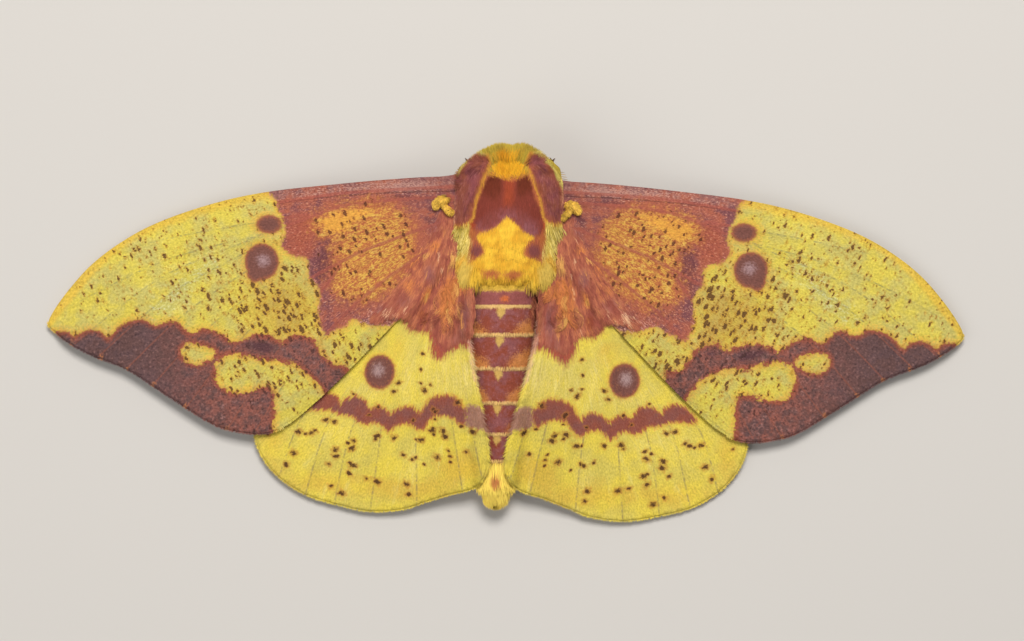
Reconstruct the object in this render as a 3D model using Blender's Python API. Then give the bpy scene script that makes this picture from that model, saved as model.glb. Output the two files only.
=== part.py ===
"""A life-size imperial moth at rest, with its four wings spread flat, as a museum model of one.

Lengths are in millimetres and angles in degrees, and each object is turned into metres as it is made. The moth
stands on z = 0 on its six feet, with its head towards +Y and its right wings towards +X.
"""

import math

import bmesh
import bpy
from mathutils import Matrix, Vector
from mathutils.geometry import delaunay_2d_cdt, intersect_point_line

METRES = 0.001
GAP = 0.3  # between any two solids that meet
MIDDLE = (-0.29, 0.157)  # the middle of the outline seen from above, which becomes the origin
SIDES = {"right": 1.0, "left": -1.0}

# The body lies a little aslant of the wings: (y, x of its midline).
SPINE = [(-22.0, -1.65), (-10.0, -1.4), (3.0, -0.9), (8.0, -0.35), (14.0, 0.0), (24.0, 0.3)]

# A body's stations run from the rear forwards: (y, half width, top, bottom).
THORAX_STATIONS = [
    (5.0, 5.7, 10.7, 3.0),
    (8.0, 6.2, 11.5, 2.5),
    (12.0, 6.5, 12.3, 2.2),
    (16.0, 6.5, 12.6, 2.2),
    (19.0, 6.4, 12.2, 2.6),
    (21.5, 6.1, 11.3, 4.4),
    (24.4, 5.3, 9.9, 6.4),
]
THORAX_ENDS = (2.4, 3.6)  # lengths over which the rear and the front round off
ABDOMEN_STATIONS = [
    (-21.4, 1.9, 4.4, 1.4),
    (-19.4, 2.4, 5.2, 1.2),
    (-17.0, 2.9, 5.9, 1.1),
    (-13.0, 3.6, 6.9, 1.0),
    (-8.0, 4.35, 8.1, 1.0),
    (-2.0, 4.9, 9.4, 1.1),
    (3.5, 5.15, 10.2, 1.4),
    (8.0, 4.8, 10.0, 2.4),
]
ABDOMEN_ENDS = (1.8, 1.5)
SEGMENT_EDGES = [3.7, 0.0, -4.4, -8.9, -13.0, -16.6, -19.6]  # where each ring's rear edge overhangs
SEGMENT_STEP = 0.2
HEAD_STATIONS = [
    (19.8, 2.9, 7.2, 2.6),
    (22.0, 3.3, 7.8, 2.3),
    (23.8, 3.3, 8.0, 2.4),
    (25.0, 3.0, 7.8, 2.9),
]
HEAD_ENDS = (1.0, 1.9)

EYE_PLACE, EYE_RADIUS = (2.95, 22.85, 4.3), 1.05

# The wing sheets fall from the body to the margins, which stay clear of the floor.
SHEET_LOW = 1.0
SHEET_RISE = 8.6
SHEET_REACH = 16.0
SHEET_POWER = 1.7
WING_SKIN = 0.5
WING_STEP = 1.2  # the forewing's height over the hindwing's
REAR_FALL = 0.75  # the share of the rise that is gone at the rear margin
COSTA_DIP, COSTA_BAND = 0.9, 5.0  # how far the leading edge curls down, and over what width
ROOT_SWELL, ROOT_BAND = 0.9, 4.0  # the wing root is thicker, over this width
VEIN_HEIGHT, VEIN_HALF = 0.28, 0.5

# Outlines and veins are those of the right wings, seen from above.
FOREWING_OUTLINE = [
    (3.6, 19.5), (9.0, 19.75), (16.0, 19.35), (23.0, 18.65), (30.5, 17.75), (36.5, 16.55), (42.5, 14.7),
    (47.5, 12.6), (51.6, 10.1), (54.9, 7.4), (57.6, 4.3), (59.5, 1.6), (60.3, -0.2), (59.6, -1.2),
    (57.0, -3.0), (54.2, -4.4), (51.6, -5.3), (48.9, -6.5), (43.7, -9.8), (38.4, -13.0), (35.2, -14.0),
    (31.4, -14.25), (28.2, -13.1), (24.6, -10.1), (21.0, -6.6), (15.2, -0.5), (11.2, 3.8), (8.2, 8.8),
    (3.6, 12.2),
]  # fmt: skip
FOREWING_VEINS = {
    "subcosta": [(5.0, 18.5), (20.0, 17.7), (32.0, 15.9), (40.5, 15.2)],
    "radius_first": [(26.0, 14.7), (40.0, 12.2), (52.2, 9.4)],
    "radius": [(5.0, 17.2), (20.0, 16.1), (31.0, 12.3), (45.0, 8.2), (59.3, 1.0)],
    "radius_last": [(33.2, 11.3), (45.5, 5.9), (56.6, -2.9)],
    "median_first": [(33.4, 9.9), (44.0, 3.9), (53.4, -4.5)],
    "median_second": [(33.2, 7.6), (42.0, 1.4), (49.6, -6.0)],
    "median_third": [(31.8, 5.2), (40.0, -1.4), (46.1, -8.1)],
    "cubitus_first": [(28.4, 4.9), (35.6, -3.1), (41.6, -10.9)],
    "cubitus_second": [(21.6, 7.9), (29.8, -3.6), (36.0, -13.5)],
    "cubitus": [(5.0, 15.0), (18.0, 10.2), (28.4, 4.9), (31.8, 5.2)],
    "cell_end": [(31.0, 12.3), (33.2, 11.3), (33.4, 9.9), (33.2, 7.6), (31.8, 5.2)],
    "anal": [(5.0, 13.6), (17.6, 4.6), (27.2, -5.6), (32.4, -13.9)],
}
HINDWING_OUTLINE = [
    (3.4, 11.0), (9.5, 9.6), (16.5, 4.6), (23.0, -2.0), (28.6, -8.8), (31.3, -13.6), (31.2, -16.4),
    (29.6, -19.2), (27.2, -21.4), (24.0, -23.1), (20.0, -24.1), (15.4, -24.75), (11.0, -24.2),
    (8.2, -23.1), (5.0, -21.8), (1.6, -20.6), (0.35, -19.2), (-0.15, -17.2), (0.1, -14.7), (0.8, -11.8),
    (1.9, -8.0), (3.1, -3.4), (3.9, 0.0), (4.7, 2.8), (5.6, 4.8), (4.6, 6.4),
]  # fmt: skip
HINDWING_VEINS = {
    "costa": [(5.0, 9.3), (14.0, 4.2), (23.0, -5.0), (31.0, -14.6)],
    "radius": [(5.0, 8.4), (13.0, 0.6), (19.5, -6.2), (25.2, -12.6), (27.8, -20.9)],
    "median_first": [(17.8, -5.9), (21.7, -13.2), (24.1, -23.0)],
    "median_second": [(16.5, -7.7), (18.8, -15.2), (20.1, -24.1)],
    "median_third": [(14.3, -8.3), (14.6, -16.0), (15.2, -24.7)],
    "cubitus_first": [(11.9, -5.6), (9.9, -14.0), (8.9, -23.4)],
    "cubitus_second": [(9.0, 0.0), (5.6, -10.0), (2.9, -21.0)],
    "cubitus": [(5.0, 7.4), (9.0, 0.0), (11.9, -5.6), (14.3, -8.3)],
    "cell_end": [(17.8, -5.9), (16.5, -7.7), (14.3, -8.3)],
    "anal": [(5.0, 6.4), (4.4, -3.6), (1.4, -15.6), (0.35, -18.8)],
}
# A left wing is its right one mirrored, moved to its own hinge, turned, and fanned open a little less.
FOREWING_HINGES = {"right": (8.2, 16.4), "left": (-8.5, 17.1)}
HINDWING_HINGES = {"right": (6.0, 8.0), "left": (-6.6, 8.5)}
FOREWING_TURN, HINDWING_TURN = 1.0, 4.8
HINDWING_FAN = 0.973

# A leg's points run from inside the body to the claws: (x, y, z, radius), for the right side.
LEGS = {
    "fore": [(1.6, 17.2, 3.4, 1.0), (2.6, 18.6, 2.0, 0.85), (4.4, 19.8, 2.9, 0.65), (5.0, 20.3, 2.3, 0.5),
             (5.3, 21.2, 0.7, 0.42), (5.5, 22.0, 0.25, 0.38), (5.6, 22.9, 0.2, 0.3)],
    "mid": [(1.8, 12.8, 3.4, 1.1), (3.4, 12.9, 2.2, 0.95), (6.8, 13.4, 4.0, 0.75), (7.7, 13.6, 3.6, 0.6),
            (10.2, 14.2, 0.9, 0.45), (11.2, 14.6, 0.3, 0.38), (12.6, 15.2, 0.2, 0.3)],
    "hind": [(1.8, 8.4, 3.6, 1.1), (3.4, 7.7, 2.3, 0.95), (6.2, 4.6, 3.5, 0.75), (6.9, 3.6, 3.2, 0.6),
             (8.6, -0.4, 0.9, 0.45), (9.2, -1.6, 0.3, 0.38), (9.9, -3.4, 0.2, 0.3)],
}  # fmt: skip
LEG_SIDES = 8

ANTENNA_PATH = [
    (1.3, 23.6, 5.9), (2.1, 24.5, 5.6), (3.2, 24.45, 4.9), (4.35, 23.7, 4.1), (5.5, 22.3, 3.8),
    (6.6, 20.4, 4.1), (7.5, 17.6, 4.6), (8.3, 14.8, 4.8), (8.9, 12.2, 4.6),
]  # fmt: skip
ANTENNA_RADII = (0.36, 0.26)
COMB_FROM, COMB_TO = 0.42, 0.93  # the part of the stem that bears rays
COMB_PAIRS, COMB_LENGTH = 8, 1.25
ANTENNA_SIDES = 6
PALP_PATH = [(0.75, 23.3, 3.9), (0.85, 24.3, 3.3), (0.9, 24.75, 3.9)]
PALP_RADII = (0.5, 0.38)

# Each shoulder lobe of long scales lies on the thorax between these edges.
LOBE_FRONT, LOBE_REAR = 22.9, 13.6
LOBE_INNER = [(13.6, 5.0), (16.0, 4.5), (18.0, 3.7), (20.0, 2.9), (22.9, 2.3)]  # (y, distance from the midline)
LOBE_THICK, LOBE_EDGE = 1.05, 0.5

# The fringe at the rear of the thorax: the angles of its locks, and the y of their roots and tips.
FRINGE_ANGLES = [46, 60, 75, 90, 105, 120, 134]
FRINGE_ROOT, FRINGE_TIP = 8.6, 4.6
# The tail's locks fan out of the abdomen: (x from the midline, y) of each tip.
TAIL_TIPS = [(-2.3, -20.6), (-1.8, -21.6), (-1.0, -22.6), (-0.1, -22.9), (0.8, -22.6), (1.5, -21.6), (2.0, -20.6)]
TAIL_ROOT_Y, TAIL_HEIGHTS = -17.6, (3.4, 2.1)

COLOURS = {
    "yellow": (0.72, 0.53, 0.07, 1.0),
    "wine": (0.24, 0.085, 0.075, 1.0),
    "eye": (0.012, 0.010, 0.010, 1.0),
    "horn": (0.42, 0.26, 0.10, 1.0),
}
ROUGHNESS = {"yellow": 0.85, "wine": 0.85, "eye": 0.2, "horn": 0.6}


def eased(stations, y):
    """The other columns of the stations at y, on one smooth curve through them, level past both ends."""
    y = min(max(y, stations[0][0]), stations[-1][0])
    index = max(i for i in range(len(stations) - 1) if stations[i][0] <= y)
    low, high = stations[index], stations[index + 1]
    before = stations[max(index - 1, 0)]
    after = stations[min(index + 2, len(stations) - 1)]
    span = high[0] - low[0]
    t = (y - low[0]) / span
    values = []
    for column in range(1, len(low)):
        start = (high[column] - before[column]) / (high[0] - before[0]) * span
        end = (after[column] - low[column]) / (after[0] - low[0]) * span
        rise = high[column] - low[column]
        values.append(
            low[column]
            + start * t
            + (3 * rise - 2 * start - end) * t**2
            + (start + end - 2 * rise) * t**3
        )
    return values


def spine_x(y):
    """The x of the body's midline at y."""
    return eased(SPINE, y)[0]


def smooth_line(points, step, closed=False):
    """Points about one step apart on a smooth curve through the given ones."""
    count = len(points)
    vectors = [Vector(point) for point in points]

    def at(index):
        return vectors[index % count] if closed else vectors[min(max(index, 0), count - 1)]

    line = []
    for index in range(count if closed else count - 1):
        p0, p1, p2, p3 = (at(index + k) for k in (-1, 0, 1, 2))
        pieces = max(1, round((p2 - p1).length / step))
        for piece in range(pieces):
            t = piece / pieces
            bend = (2 * p0 - 5 * p1 + 4 * p2 - p3) * t**2 + (3 * p1 - p0 - 3 * p2 + p3) * t**3
            line.append(p1 + 0.5 * ((p2 - p0) * t + bend))
    if not closed:
        line.append(vectors[-1])
    return line


class Loft:
    """A round body along the spine, through its stations, with rounded ends."""

    def __init__(self, stations, ends, step=0.0):
        self.stations = stations
        self.rear, self.front = stations[0][0], stations[-1][0]
        self.ends = ends
        self.step = step

    def grown(self, out):
        """The same body with its skin moved outwards, to cut a neighbour clear of it."""
        wider = [(y, w + out, top + out, bottom - out) for y, w, top, bottom in self.stations]
        body = Loft(wider, tuple(length + out for length in self.ends), self.step)
        body.rear, body.front = self.rear - out, self.front + out
        return body

    def roundness(self, y):
        """How much of the full section is left at y, from 0 at an end to 1."""
        share = min((y - self.rear) / self.ends[0], (self.front - y) / self.ends[1], 1.0)
        return math.sqrt(max(0.0, 1.0 - (1.0 - share) ** 2))

    def overhang(self, y):
        """The extra girth at y of a ring that overhangs the next one to its rear."""
        if not self.step:
            return 0.0
        edge = max((e for e in SEGMENT_EDGES if e <= y), default=None)
        ahead = min((e for e in SEGMENT_EDGES if e > y), default=None)
        if edge is None or ahead is None:
            return 0.0
        return self.step * (1.0 - (y - edge) / (ahead - edge))

    def section(self, y):
        """Half the width, the middle's height and half the height at y."""
        width, top, bottom = eased(self.stations, y)
        share = self.roundness(y)
        extra = self.overhang(y)
        return (width + extra) * share, (top + bottom) / 2, ((top - bottom) / 2 + extra) * share

    def point(self, y, angle, out=0.0):
        """The point of the skin at y and at this angle up from the right side, moved outwards."""
        width, middle, height = self.section(y)
        a = math.radians(angle)
        return Vector(
            (spine_x(y) + (width + out) * math.cos(a), y, middle + (height + out) * math.sin(a))
        )

    def top_at(self, x, y):
        """The height of the skin straight over (x, y), or far below where the body isn't."""
        width, middle, height = self.section(y)
        share = abs(x - spine_x(y)) / max(width, 0.001)
        if y < self.rear or y > self.front or share >= 1.0:
            return -10.0
        return middle + height * math.sqrt(1.0 - share**2)

    def levels(self, count):
        """The y of each ring, close together at the ends and on both sides of each overhanging edge."""
        length = self.front - self.rear
        found = [self.rear + length * (1 - math.cos(math.pi * i / count)) / 2 for i in range(1, count)]
        if self.step:
            found = [y for y in found if min(abs(y - e) for e in SEGMENT_EDGES) > 0.5]
            for edge in SEGMENT_EDGES:
                found += [edge - 0.14, edge + 0.02]
        return sorted(found)

    def shape(self, rings, sides):
        """The closed mesh: rings of points between two poles."""
        mesh = bmesh.new()
        loops = [
            [mesh.verts.new(self.point(y, 360.0 * k / sides)) for k in range(sides)]
            for y in self.levels(rings)
        ]
        for behind, ahead in zip(loops, loops[1:]):
            for k in range(sides):
                n = (k + 1) % sides
                mesh.faces.new((behind[k], behind[n], ahead[n], ahead[k]))
        for y, loop in ((self.rear, loops[0]), (self.front, loops[-1])):
            pole = mesh.verts.new(self.point(y, 0.0))
            for k in range(sides):
                mesh.faces.new((pole, loop[k], loop[(k + 1) % sides]))
        return mesh


THORAX = Loft(THORAX_STATIONS, THORAX_ENDS)
ABDOMEN = Loft(ABDOMEN_STATIONS, ABDOMEN_ENDS, SEGMENT_STEP)
HEAD = Loft(HEAD_STATIONS, HEAD_ENDS)


def material(name):
    """The plain finish with this name."""
    found = bpy.data.materials.get(name)
    if found is None:
        found = bpy.data.materials.new(name)
        found.use_nodes = True
        shader = found.node_tree.nodes["Principled BSDF"]
        shader.inputs["Base Color"].default_value = COLOURS[name]
        shader.inputs["Roughness"].default_value = ROUGHNESS[name]
    return found


def made(name, mesh, finish):
    """An object of this mesh, in metres, with its faces outwards."""
    bmesh.ops.recalc_face_normals(mesh, faces=mesh.faces)
    bmesh.ops.triangulate(mesh, faces=mesh.faces)
    data = bpy.data.meshes.new(name)
    mesh.to_mesh(data)
    mesh.free()
    data.transform(Matrix.Scale(METRES, 4) @ Matrix.Translation((-MIDDLE[0], -MIDDLE[1], 0.0)))
    data.shade_smooth()
    data.set_sharp_from_angle(angle=math.radians(40))
    data.materials.append(material(finish))
    thing = bpy.data.objects.new(name, data)
    bpy.context.scene.collection.objects.link(thing)
    return thing


def keep_largest(thing):
    """Drops every loose scrap but the largest closed surface."""
    mesh = bmesh.new()
    mesh.from_mesh(thing.data)
    mesh.faces.ensure_lookup_table()
    left, largest = set(mesh.faces), []
    while left:
        island, edge = [], [left.pop()]
        while edge:
            face = edge.pop()
            island.append(face)
            for side in face.edges:
                for other in side.link_faces:
                    if other in left:
                        left.remove(other)
                        edge.append(other)
        if len(island) > len(largest):
            largest = island
    kept = set(largest)
    scraps = [face for face in mesh.faces if face not in kept]
    bmesh.ops.delete(mesh, geom=scraps, context="FACES")
    mesh.to_mesh(thing.data)
    mesh.free()


def combine(thing, others, operation, solver="EXACT"):
    """Joins the others to the thing, or cuts them from it, and removes them."""
    group = bpy.data.collections.new("operands")
    bpy.context.scene.collection.children.link(group)
    for other in others:
        group.objects.link(other)
        bpy.context.scene.collection.objects.unlink(other)
    step = thing.modifiers.new("combine", "BOOLEAN")
    step.operation = operation
    step.operand_type = "COLLECTION"
    step.collection = group
    step.solver = solver
    bpy.context.view_layer.update()
    graph = bpy.context.evaluated_depsgraph_get()
    result = bpy.data.meshes.new_from_object(thing.evaluated_get(graph))
    thing.modifiers.clear()
    thing.data = result
    for other in others:
        bpy.data.objects.remove(other)
    bpy.data.collections.remove(group)
    keep_largest(thing)
    return thing


def cutter(mesh):
    """A passing object to cut with."""
    return made("cutter", mesh, "horn")


def tube(points, radii, sides, floor=None):
    """A closed tube through the points, round at both ends, and flat where it would pass the floor."""
    mesh = bmesh.new()
    loops = []
    side = None
    for index, point in enumerate(points):
        ahead = points[min(index + 1, len(points) - 1)] - points[max(index - 1, 0)]
        ahead.normalize()
        side = side or ahead.cross(Vector((0.0, 0.0, 1.0)))
        side = (side - side.dot(ahead) * ahead).normalized()
        up = side.cross(ahead)
        loop = []
        for k in range(sides):
            a = 2 * math.pi * k / sides
            place = point + (side * math.cos(a) + up * math.sin(a)) * radii[index]
            if floor is not None:
                place.z = max(place.z, floor)
            loop.append(mesh.verts.new(place))
        loops.append(loop)
    for first, second in zip(loops, loops[1:]):
        for k in range(sides):
            n = (k + 1) % sides
            mesh.faces.new((first[k], first[n], second[n], second[k]))
    mesh.faces.new(loops[0])
    mesh.faces.new(loops[-1])
    return mesh


def sheet_height(x, y):
    """The underside of the hindwing's sheet over (x, y): it drapes over the abdomen's flank."""
    away = abs(x - spine_x(y))
    rise = SHEET_RISE * (1.0 - REAR_FALL * (min(max(0.0, -4.0 - y), 20.0) / 20.0) ** 1.2)
    height = SHEET_LOW + rise / (1 + (away / SHEET_REACH) ** SHEET_POWER) - WING_STEP
    over = ABDOMEN.grown(GAP + 0.12).top_at(x, y)
    blend = 0.22
    spread = max(-30.0, min(30.0, (over - height) / blend))
    return height + blend * math.log1p(math.exp(spread))


def forewing_height(x, y):
    """The underside of the forewing over (x, y), clear of the hindwing, its leading edge curled down."""
    front = eased([(0.0, 19.6), (16.0, 19.35), (30.5, 17.75), (42.5, 14.7), (51.6, 10.1), (60.3, 0.0)], abs(x))[0]
    near = max(0.0, 1.0 - max(0.0, front - y) / COSTA_BAND)
    return sheet_height(x, y) + WING_STEP - COSTA_DIP * near**2 * min(1.0, max(0.0, abs(x) - 8.0) / 8.0)


def vein_lines(veins, step):
    """Each vein as a smooth line of points."""
    return [smooth_line(points, step) for points in veins.values()]


def gap_to_lines(point, lines):
    """The least distance from a point to the lines."""
    least = 99.0
    for line in lines:
        for a, b in zip(line, line[1:]):
            near, share = intersect_point_line(point, a, b)
            near = a if share < 0 else b if share > 1 else near
            least = min(least, (near.to_2d() - point).length)
    return least


def inside(point, outline):
    """Whether the point lies within the closed outline."""
    crossings = 0
    for a, b in zip(outline, outline[1:] + outline[:1]):
        if (a.y > point.y) != (b.y > point.y):
            crossings += point.x < a.x + (b.x - a.x) * (point.y - a.y) / (b.y - a.y)
    return crossings % 2 == 1


def wing_plan(outline_points, veins, rim_step, vein_step, fill_step):
    """(places, triangles) of a wing seen from above, with an edge along each vein, and each place's vein height."""
    outline = smooth_line(outline_points, rim_step, closed=True)
    lines = vein_lines(veins, vein_step)
    places = list(outline)
    edges = [(i, (i + 1) % len(outline)) for i in range(len(outline))]
    for line in lines:
        inner = [p for p in line if inside(p, outline) and gap_to_lines(p, [outline + outline[:1]]) > 0.25]
        first = len(places)
        places += inner
        edges += [(first + i, first + i + 1) for i in range(len(inner) - 1)]
    feet = []
    for line in lines:
        for a, b in zip(line, line[1:]):
            across = Vector((a.y - b.y, b.x - a.x)).normalized() * VEIN_HALF
            feet += [(a + b) / 2 + across, (a + b) / 2 - across]
    low = Vector((min(p.x for p in outline), min(p.y for p in outline)))
    high = Vector((max(p.x for p in outline), max(p.y for p in outline)))
    rows = int((high.y - low.y) / fill_step) + 1
    columns = int((high.x - low.x) / fill_step) + 1
    fill = [
        low + Vector(((c + 0.5 * (r % 2)) * fill_step, r * fill_step)) for r in range(rows) for c in range(columns)
    ]
    rim = [outline + outline[:1]]
    for candidates, from_vein, from_place in ((feet, 0.9 * VEIN_HALF, 0.7), (fill, 1.1, 0.55 * fill_step)):
        for point in candidates:
            clear = inside(point, outline) and gap_to_lines(point, rim) > 0.45
            if clear and gap_to_lines(point, lines) >= from_vein:
                if min((p - point).length for p in places) > from_place:
                    places.append(point)
    flat, _, triangles, *_ = delaunay_2d_cdt(places, edges, [list(range(len(outline)))], 1, 1e-4)
    kept = []
    for triangle in triangles:
        corners = [flat[i] for i in triangle]
        if inside(sum(corners, Vector((0.0, 0.0))) / len(corners), outline):
            kept.append(triangle)
    heights = [VEIN_HEIGHT * max(0.0, 1.0 - gap_to_lines(p, lines) / (0.9 * VEIN_HALF)) for p in flat]
    return flat, kept, heights


def to_side(place, side, hinges, turn, fan=1.0):
    """A place of a right wing carried to this side's wing."""
    if side == "right":
        return place.copy()
    arm = place - Vector(hinges["right"])
    angle = math.atan2(-arm.x, -arm.y) * fan - math.radians(turn)
    return Vector(hinges["left"]) + arm.length * Vector((math.sin(angle), -math.cos(angle)))


def wing(name, plan, side, hinges, turn, fan, height_of, finish):
    """One wing as a closed sheet with raised veins, whose two faces share their triangles."""
    flat, triangles, ridges = plan
    mesh = bmesh.new()
    under, over = [], []
    for place, ridge in zip(flat, ridges):
        x, y = to_side(place, side, hinges, turn, fan)
        low = height_of(x, y)
        near_root = max(0.0, 1.0 - max(0.0, abs(x - spine_x(y)) - 6.0) / ROOT_BAND)
        swell = ROOT_SWELL * near_root**2 if y > 4.0 else 0.0
        under.append(mesh.verts.new((x, y, low - swell * 0.6)))
        over.append(mesh.verts.new((x, y, low + WING_SKIN + ridge + swell * 0.4)))
    used = {}
    for a, b, c in triangles:
        mesh.faces.new((over[a], over[b], over[c]))
        mesh.faces.new((under[c], under[b], under[a]))
        for edge in ((a, b), (b, c), (c, a)):
            used[edge] = used.get(edge, 0) + 1
    for a, b in used:
        if (b, a) not in used:
            mesh.faces.new((over[b], over[a], under[a], under[b]))
    bmesh.ops.delete(mesh, geom=[v for v in mesh.verts if not v.link_faces], context="VERTS")
    return made(f"{name}_{side}", mesh, finish)


def wings():
    """The four wings, cut clear of the thorax and the abdomen at their roots."""
    fore_plan = wing_plan(FOREWING_OUTLINE, FOREWING_VEINS, 2.0, 3.2, 4.2)
    hind_plan = wing_plan(HINDWING_OUTLINE, HINDWING_VEINS, 1.8, 3.0, 3.8)
    for side in SIDES:
        fore = wing("forewing", fore_plan, side, FOREWING_HINGES, FOREWING_TURN, 1.0, forewing_height, "yellow")
        hind = wing("hindwing", hind_plan, side, HINDWING_HINGES, HINDWING_TURN, HINDWING_FAN, sheet_height, "yellow")
        for thing in (fore, hind):
            combine(thing, [cutter(THORAX.grown(GAP).shape(18, 32))], "DIFFERENCE")
        combine(hind, [cutter(ABDOMEN.grown(GAP).shape(16, 32))], "DIFFERENCE")


def lock(points, widths, thickness, out):
    """A flat tapered lock of long scales through the points, as a closed body with this side outwards."""
    mesh = bmesh.new()
    rings = []
    for index, (point, width) in enumerate(zip(points, widths)):
        ahead = points[min(index + 1, len(points) - 1)] - points[max(index - 1, 0)]
        across = ahead.cross(out).normalized() * width / 2
        lift = across.cross(ahead).normalized() * (thickness * (0.6 + 0.4 * width / widths[0]) / 2)
        rings.append([mesh.verts.new(point + offset) for offset in (across, lift, -across, -lift)])
    for behind, ahead in zip(rings, rings[1:]):
        for k in range(4):
            n = (k + 1) % 4
            mesh.faces.new((behind[k], behind[n], ahead[n], ahead[k]))
    mesh.faces.new(rings[0])
    mesh.faces.new(rings[-1])
    return mesh


def fringe_locks():
    """The locks at the rear of the thorax, which lie over the abdomen's first ring."""
    locks = []
    for angle in FRINGE_ANGLES:
        a = math.radians(angle)
        out = Vector((math.cos(a), 0.0, math.sin(a)))
        tip = ABDOMEN.point(FRINGE_TIP, angle, GAP + 0.55)
        root = THORAX.point(FRINGE_ROOT, angle, -0.6)
        middle = (root + tip) / 2 + out * 0.45
        locks.append(cutter(lock([root, middle, tip], (2.2, 2.0, 1.0), 0.7, out)))
    return locks


def tail_locks():
    """The fan of locks at the end of the abdomen."""
    locks = []
    for x, y in TAIL_TIPS:
        root = Vector((spine_x(TAIL_ROOT_Y) + x * 0.35, TAIL_ROOT_Y, TAIL_HEIGHTS[0]))
        tip = Vector((spine_x(y) + x, y, TAIL_HEIGHTS[1]))
        middle = root.lerp(tip, 0.62) + Vector((x * 0.12, 0.0, 0.25))
        locks.append(cutter(lock([root, middle, tip], (1.9, 1.7, 0.8), 1.1, Vector((0.0, 0.0, 1.0)))))
    return locks


def trunk():
    """The thorax, and the abdomen and the head that are cut clear of it."""
    thorax = made("thorax", THORAX.shape(16, 20), "wine")
    combine(thorax, fringe_locks(), "UNION")
    abdomen = made("abdomen", ABDOMEN.shape(14, 20), "wine")
    combine(abdomen, tail_locks(), "UNION")
    combine(abdomen, [cutter(THORAX.grown(GAP).shape(15, 20))], "DIFFERENCE")
    head = made("head", HEAD.shape(12, 18), "yellow")
    combine(head, [cutter(THORAX.grown(GAP).shape(15, 20))], "DIFFERENCE")
    for side, sign in SIDES.items():
        place = Vector((spine_x(EYE_PLACE[1]) + sign * EYE_PLACE[0], EYE_PLACE[1], EYE_PLACE[2]))
        combine(head, [cutter(ball(place, EYE_RADIUS + GAP, 16, 10))], "DIFFERENCE")
        made(f"eye_{side}", ball(place, EYE_RADIUS, 14, 9), "eye")


def ball(place, radius, segments, rings):
    """A round ball."""
    mesh = bmesh.new()
    bmesh.ops.create_uvsphere(mesh, u_segments=segments, v_segments=rings, radius=radius)
    bmesh.ops.translate(mesh, verts=mesh.verts, vec=place)
    return mesh


def sided(point, sign):
    """A point given for the right side of a straight body, on this side of the slanting one."""
    return Vector((spine_x(point[1]) + sign * point[0], point[1], point[2]))


def spaced_tube(points, radii_ends, step, sides, sign):
    """A tube on a smooth line through the points, tapering from the first radius to the last."""
    line = smooth_line([sided(p, sign) for p in points], step)
    last = len(line) - 1
    radii = [radii_ends[0] + (radii_ends[1] - radii_ends[0]) * i / last for i in range(last + 1)]
    return tube(line, radii, sides), line


def legs():
    """Six legs, each cut clear of the thorax, with its claws flat on the floor."""
    for side, sign in SIDES.items():
        for name, joints in LEGS.items():
            line = smooth_line([(*sided(j[:3], sign), j[3]) for j in joints], 0.9)
            points = [Vector(p[:3]) for p in line]
            mesh = tube(points, [p[3] for p in line], LEG_SIDES, floor=0.0)
            leg = made(f"leg_{name}_{side}", mesh, "wine")
            combine(leg, [cutter(THORAX.grown(GAP).shape(15, 20))], "DIFFERENCE")


def comb_rays(line):
    """The rays on both sides of an antenna's stem, slanting towards its tip."""
    rays = []
    last = len(line) - 1
    for pair in range(COMB_PAIRS):
        share = pair / (COMB_PAIRS - 1)
        place = (COMB_FROM + (COMB_TO - COMB_FROM) * share) * last
        index = min(int(place), last - 1)
        base = line[index].lerp(line[index + 1], place - index)
        ahead = (line[index + 1] - line[index]).normalized()
        across = ahead.cross(Vector((0.0, 0.0, 1.0))).normalized()
        length = COMB_LENGTH * (0.55 + 0.45 * math.sin(math.pi * (0.15 + 0.75 * share)))
        for way in (1.0, -1.0):
            reach = (across * way + ahead * 0.45).normalized()
            foot = base + across * (way * 0.13)
            points = [foot, foot + reach * length * 0.5, foot + reach * length]
            rays.append(cutter(lock(points, (0.55, 0.5, 0.3), 0.5, Vector((0.0, 0.0, 1.0)))))
    return rays


def feelers():
    """The antennae and the palps, cut clear of the head."""
    for side, sign in SIDES.items():
        stem, line = spaced_tube(ANTENNA_PATH, ANTENNA_RADII, 1.0, ANTENNA_SIDES, sign)
        antenna = made(f"antenna_{side}", stem, "horn")
        combine(antenna, comb_rays(line), "UNION")
        palp_tube, _ = spaced_tube(PALP_PATH, PALP_RADII, 0.5, ANTENNA_SIDES, sign)
        palp = made(f"palp_{side}", palp_tube, "wine")
        for thing in (antenna, palp):
            combine(thing, [cutter(HEAD.grown(GAP).shape(12, 18))], "DIFFERENCE")


def angle_over_wing(y):
    """The lowest angle on the thorax, in whole steps, from which a lobe clears the forewing's root."""
    angle = 10
    while angle < 60:
        rim = THORAX.point(y, angle, GAP)
        if rim.z > forewing_height(rim.x, y) + WING_SKIN + ROOT_SWELL * 0.4 + VEIN_HEIGHT + GAP:
            break
        angle += 1
    return angle


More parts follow.
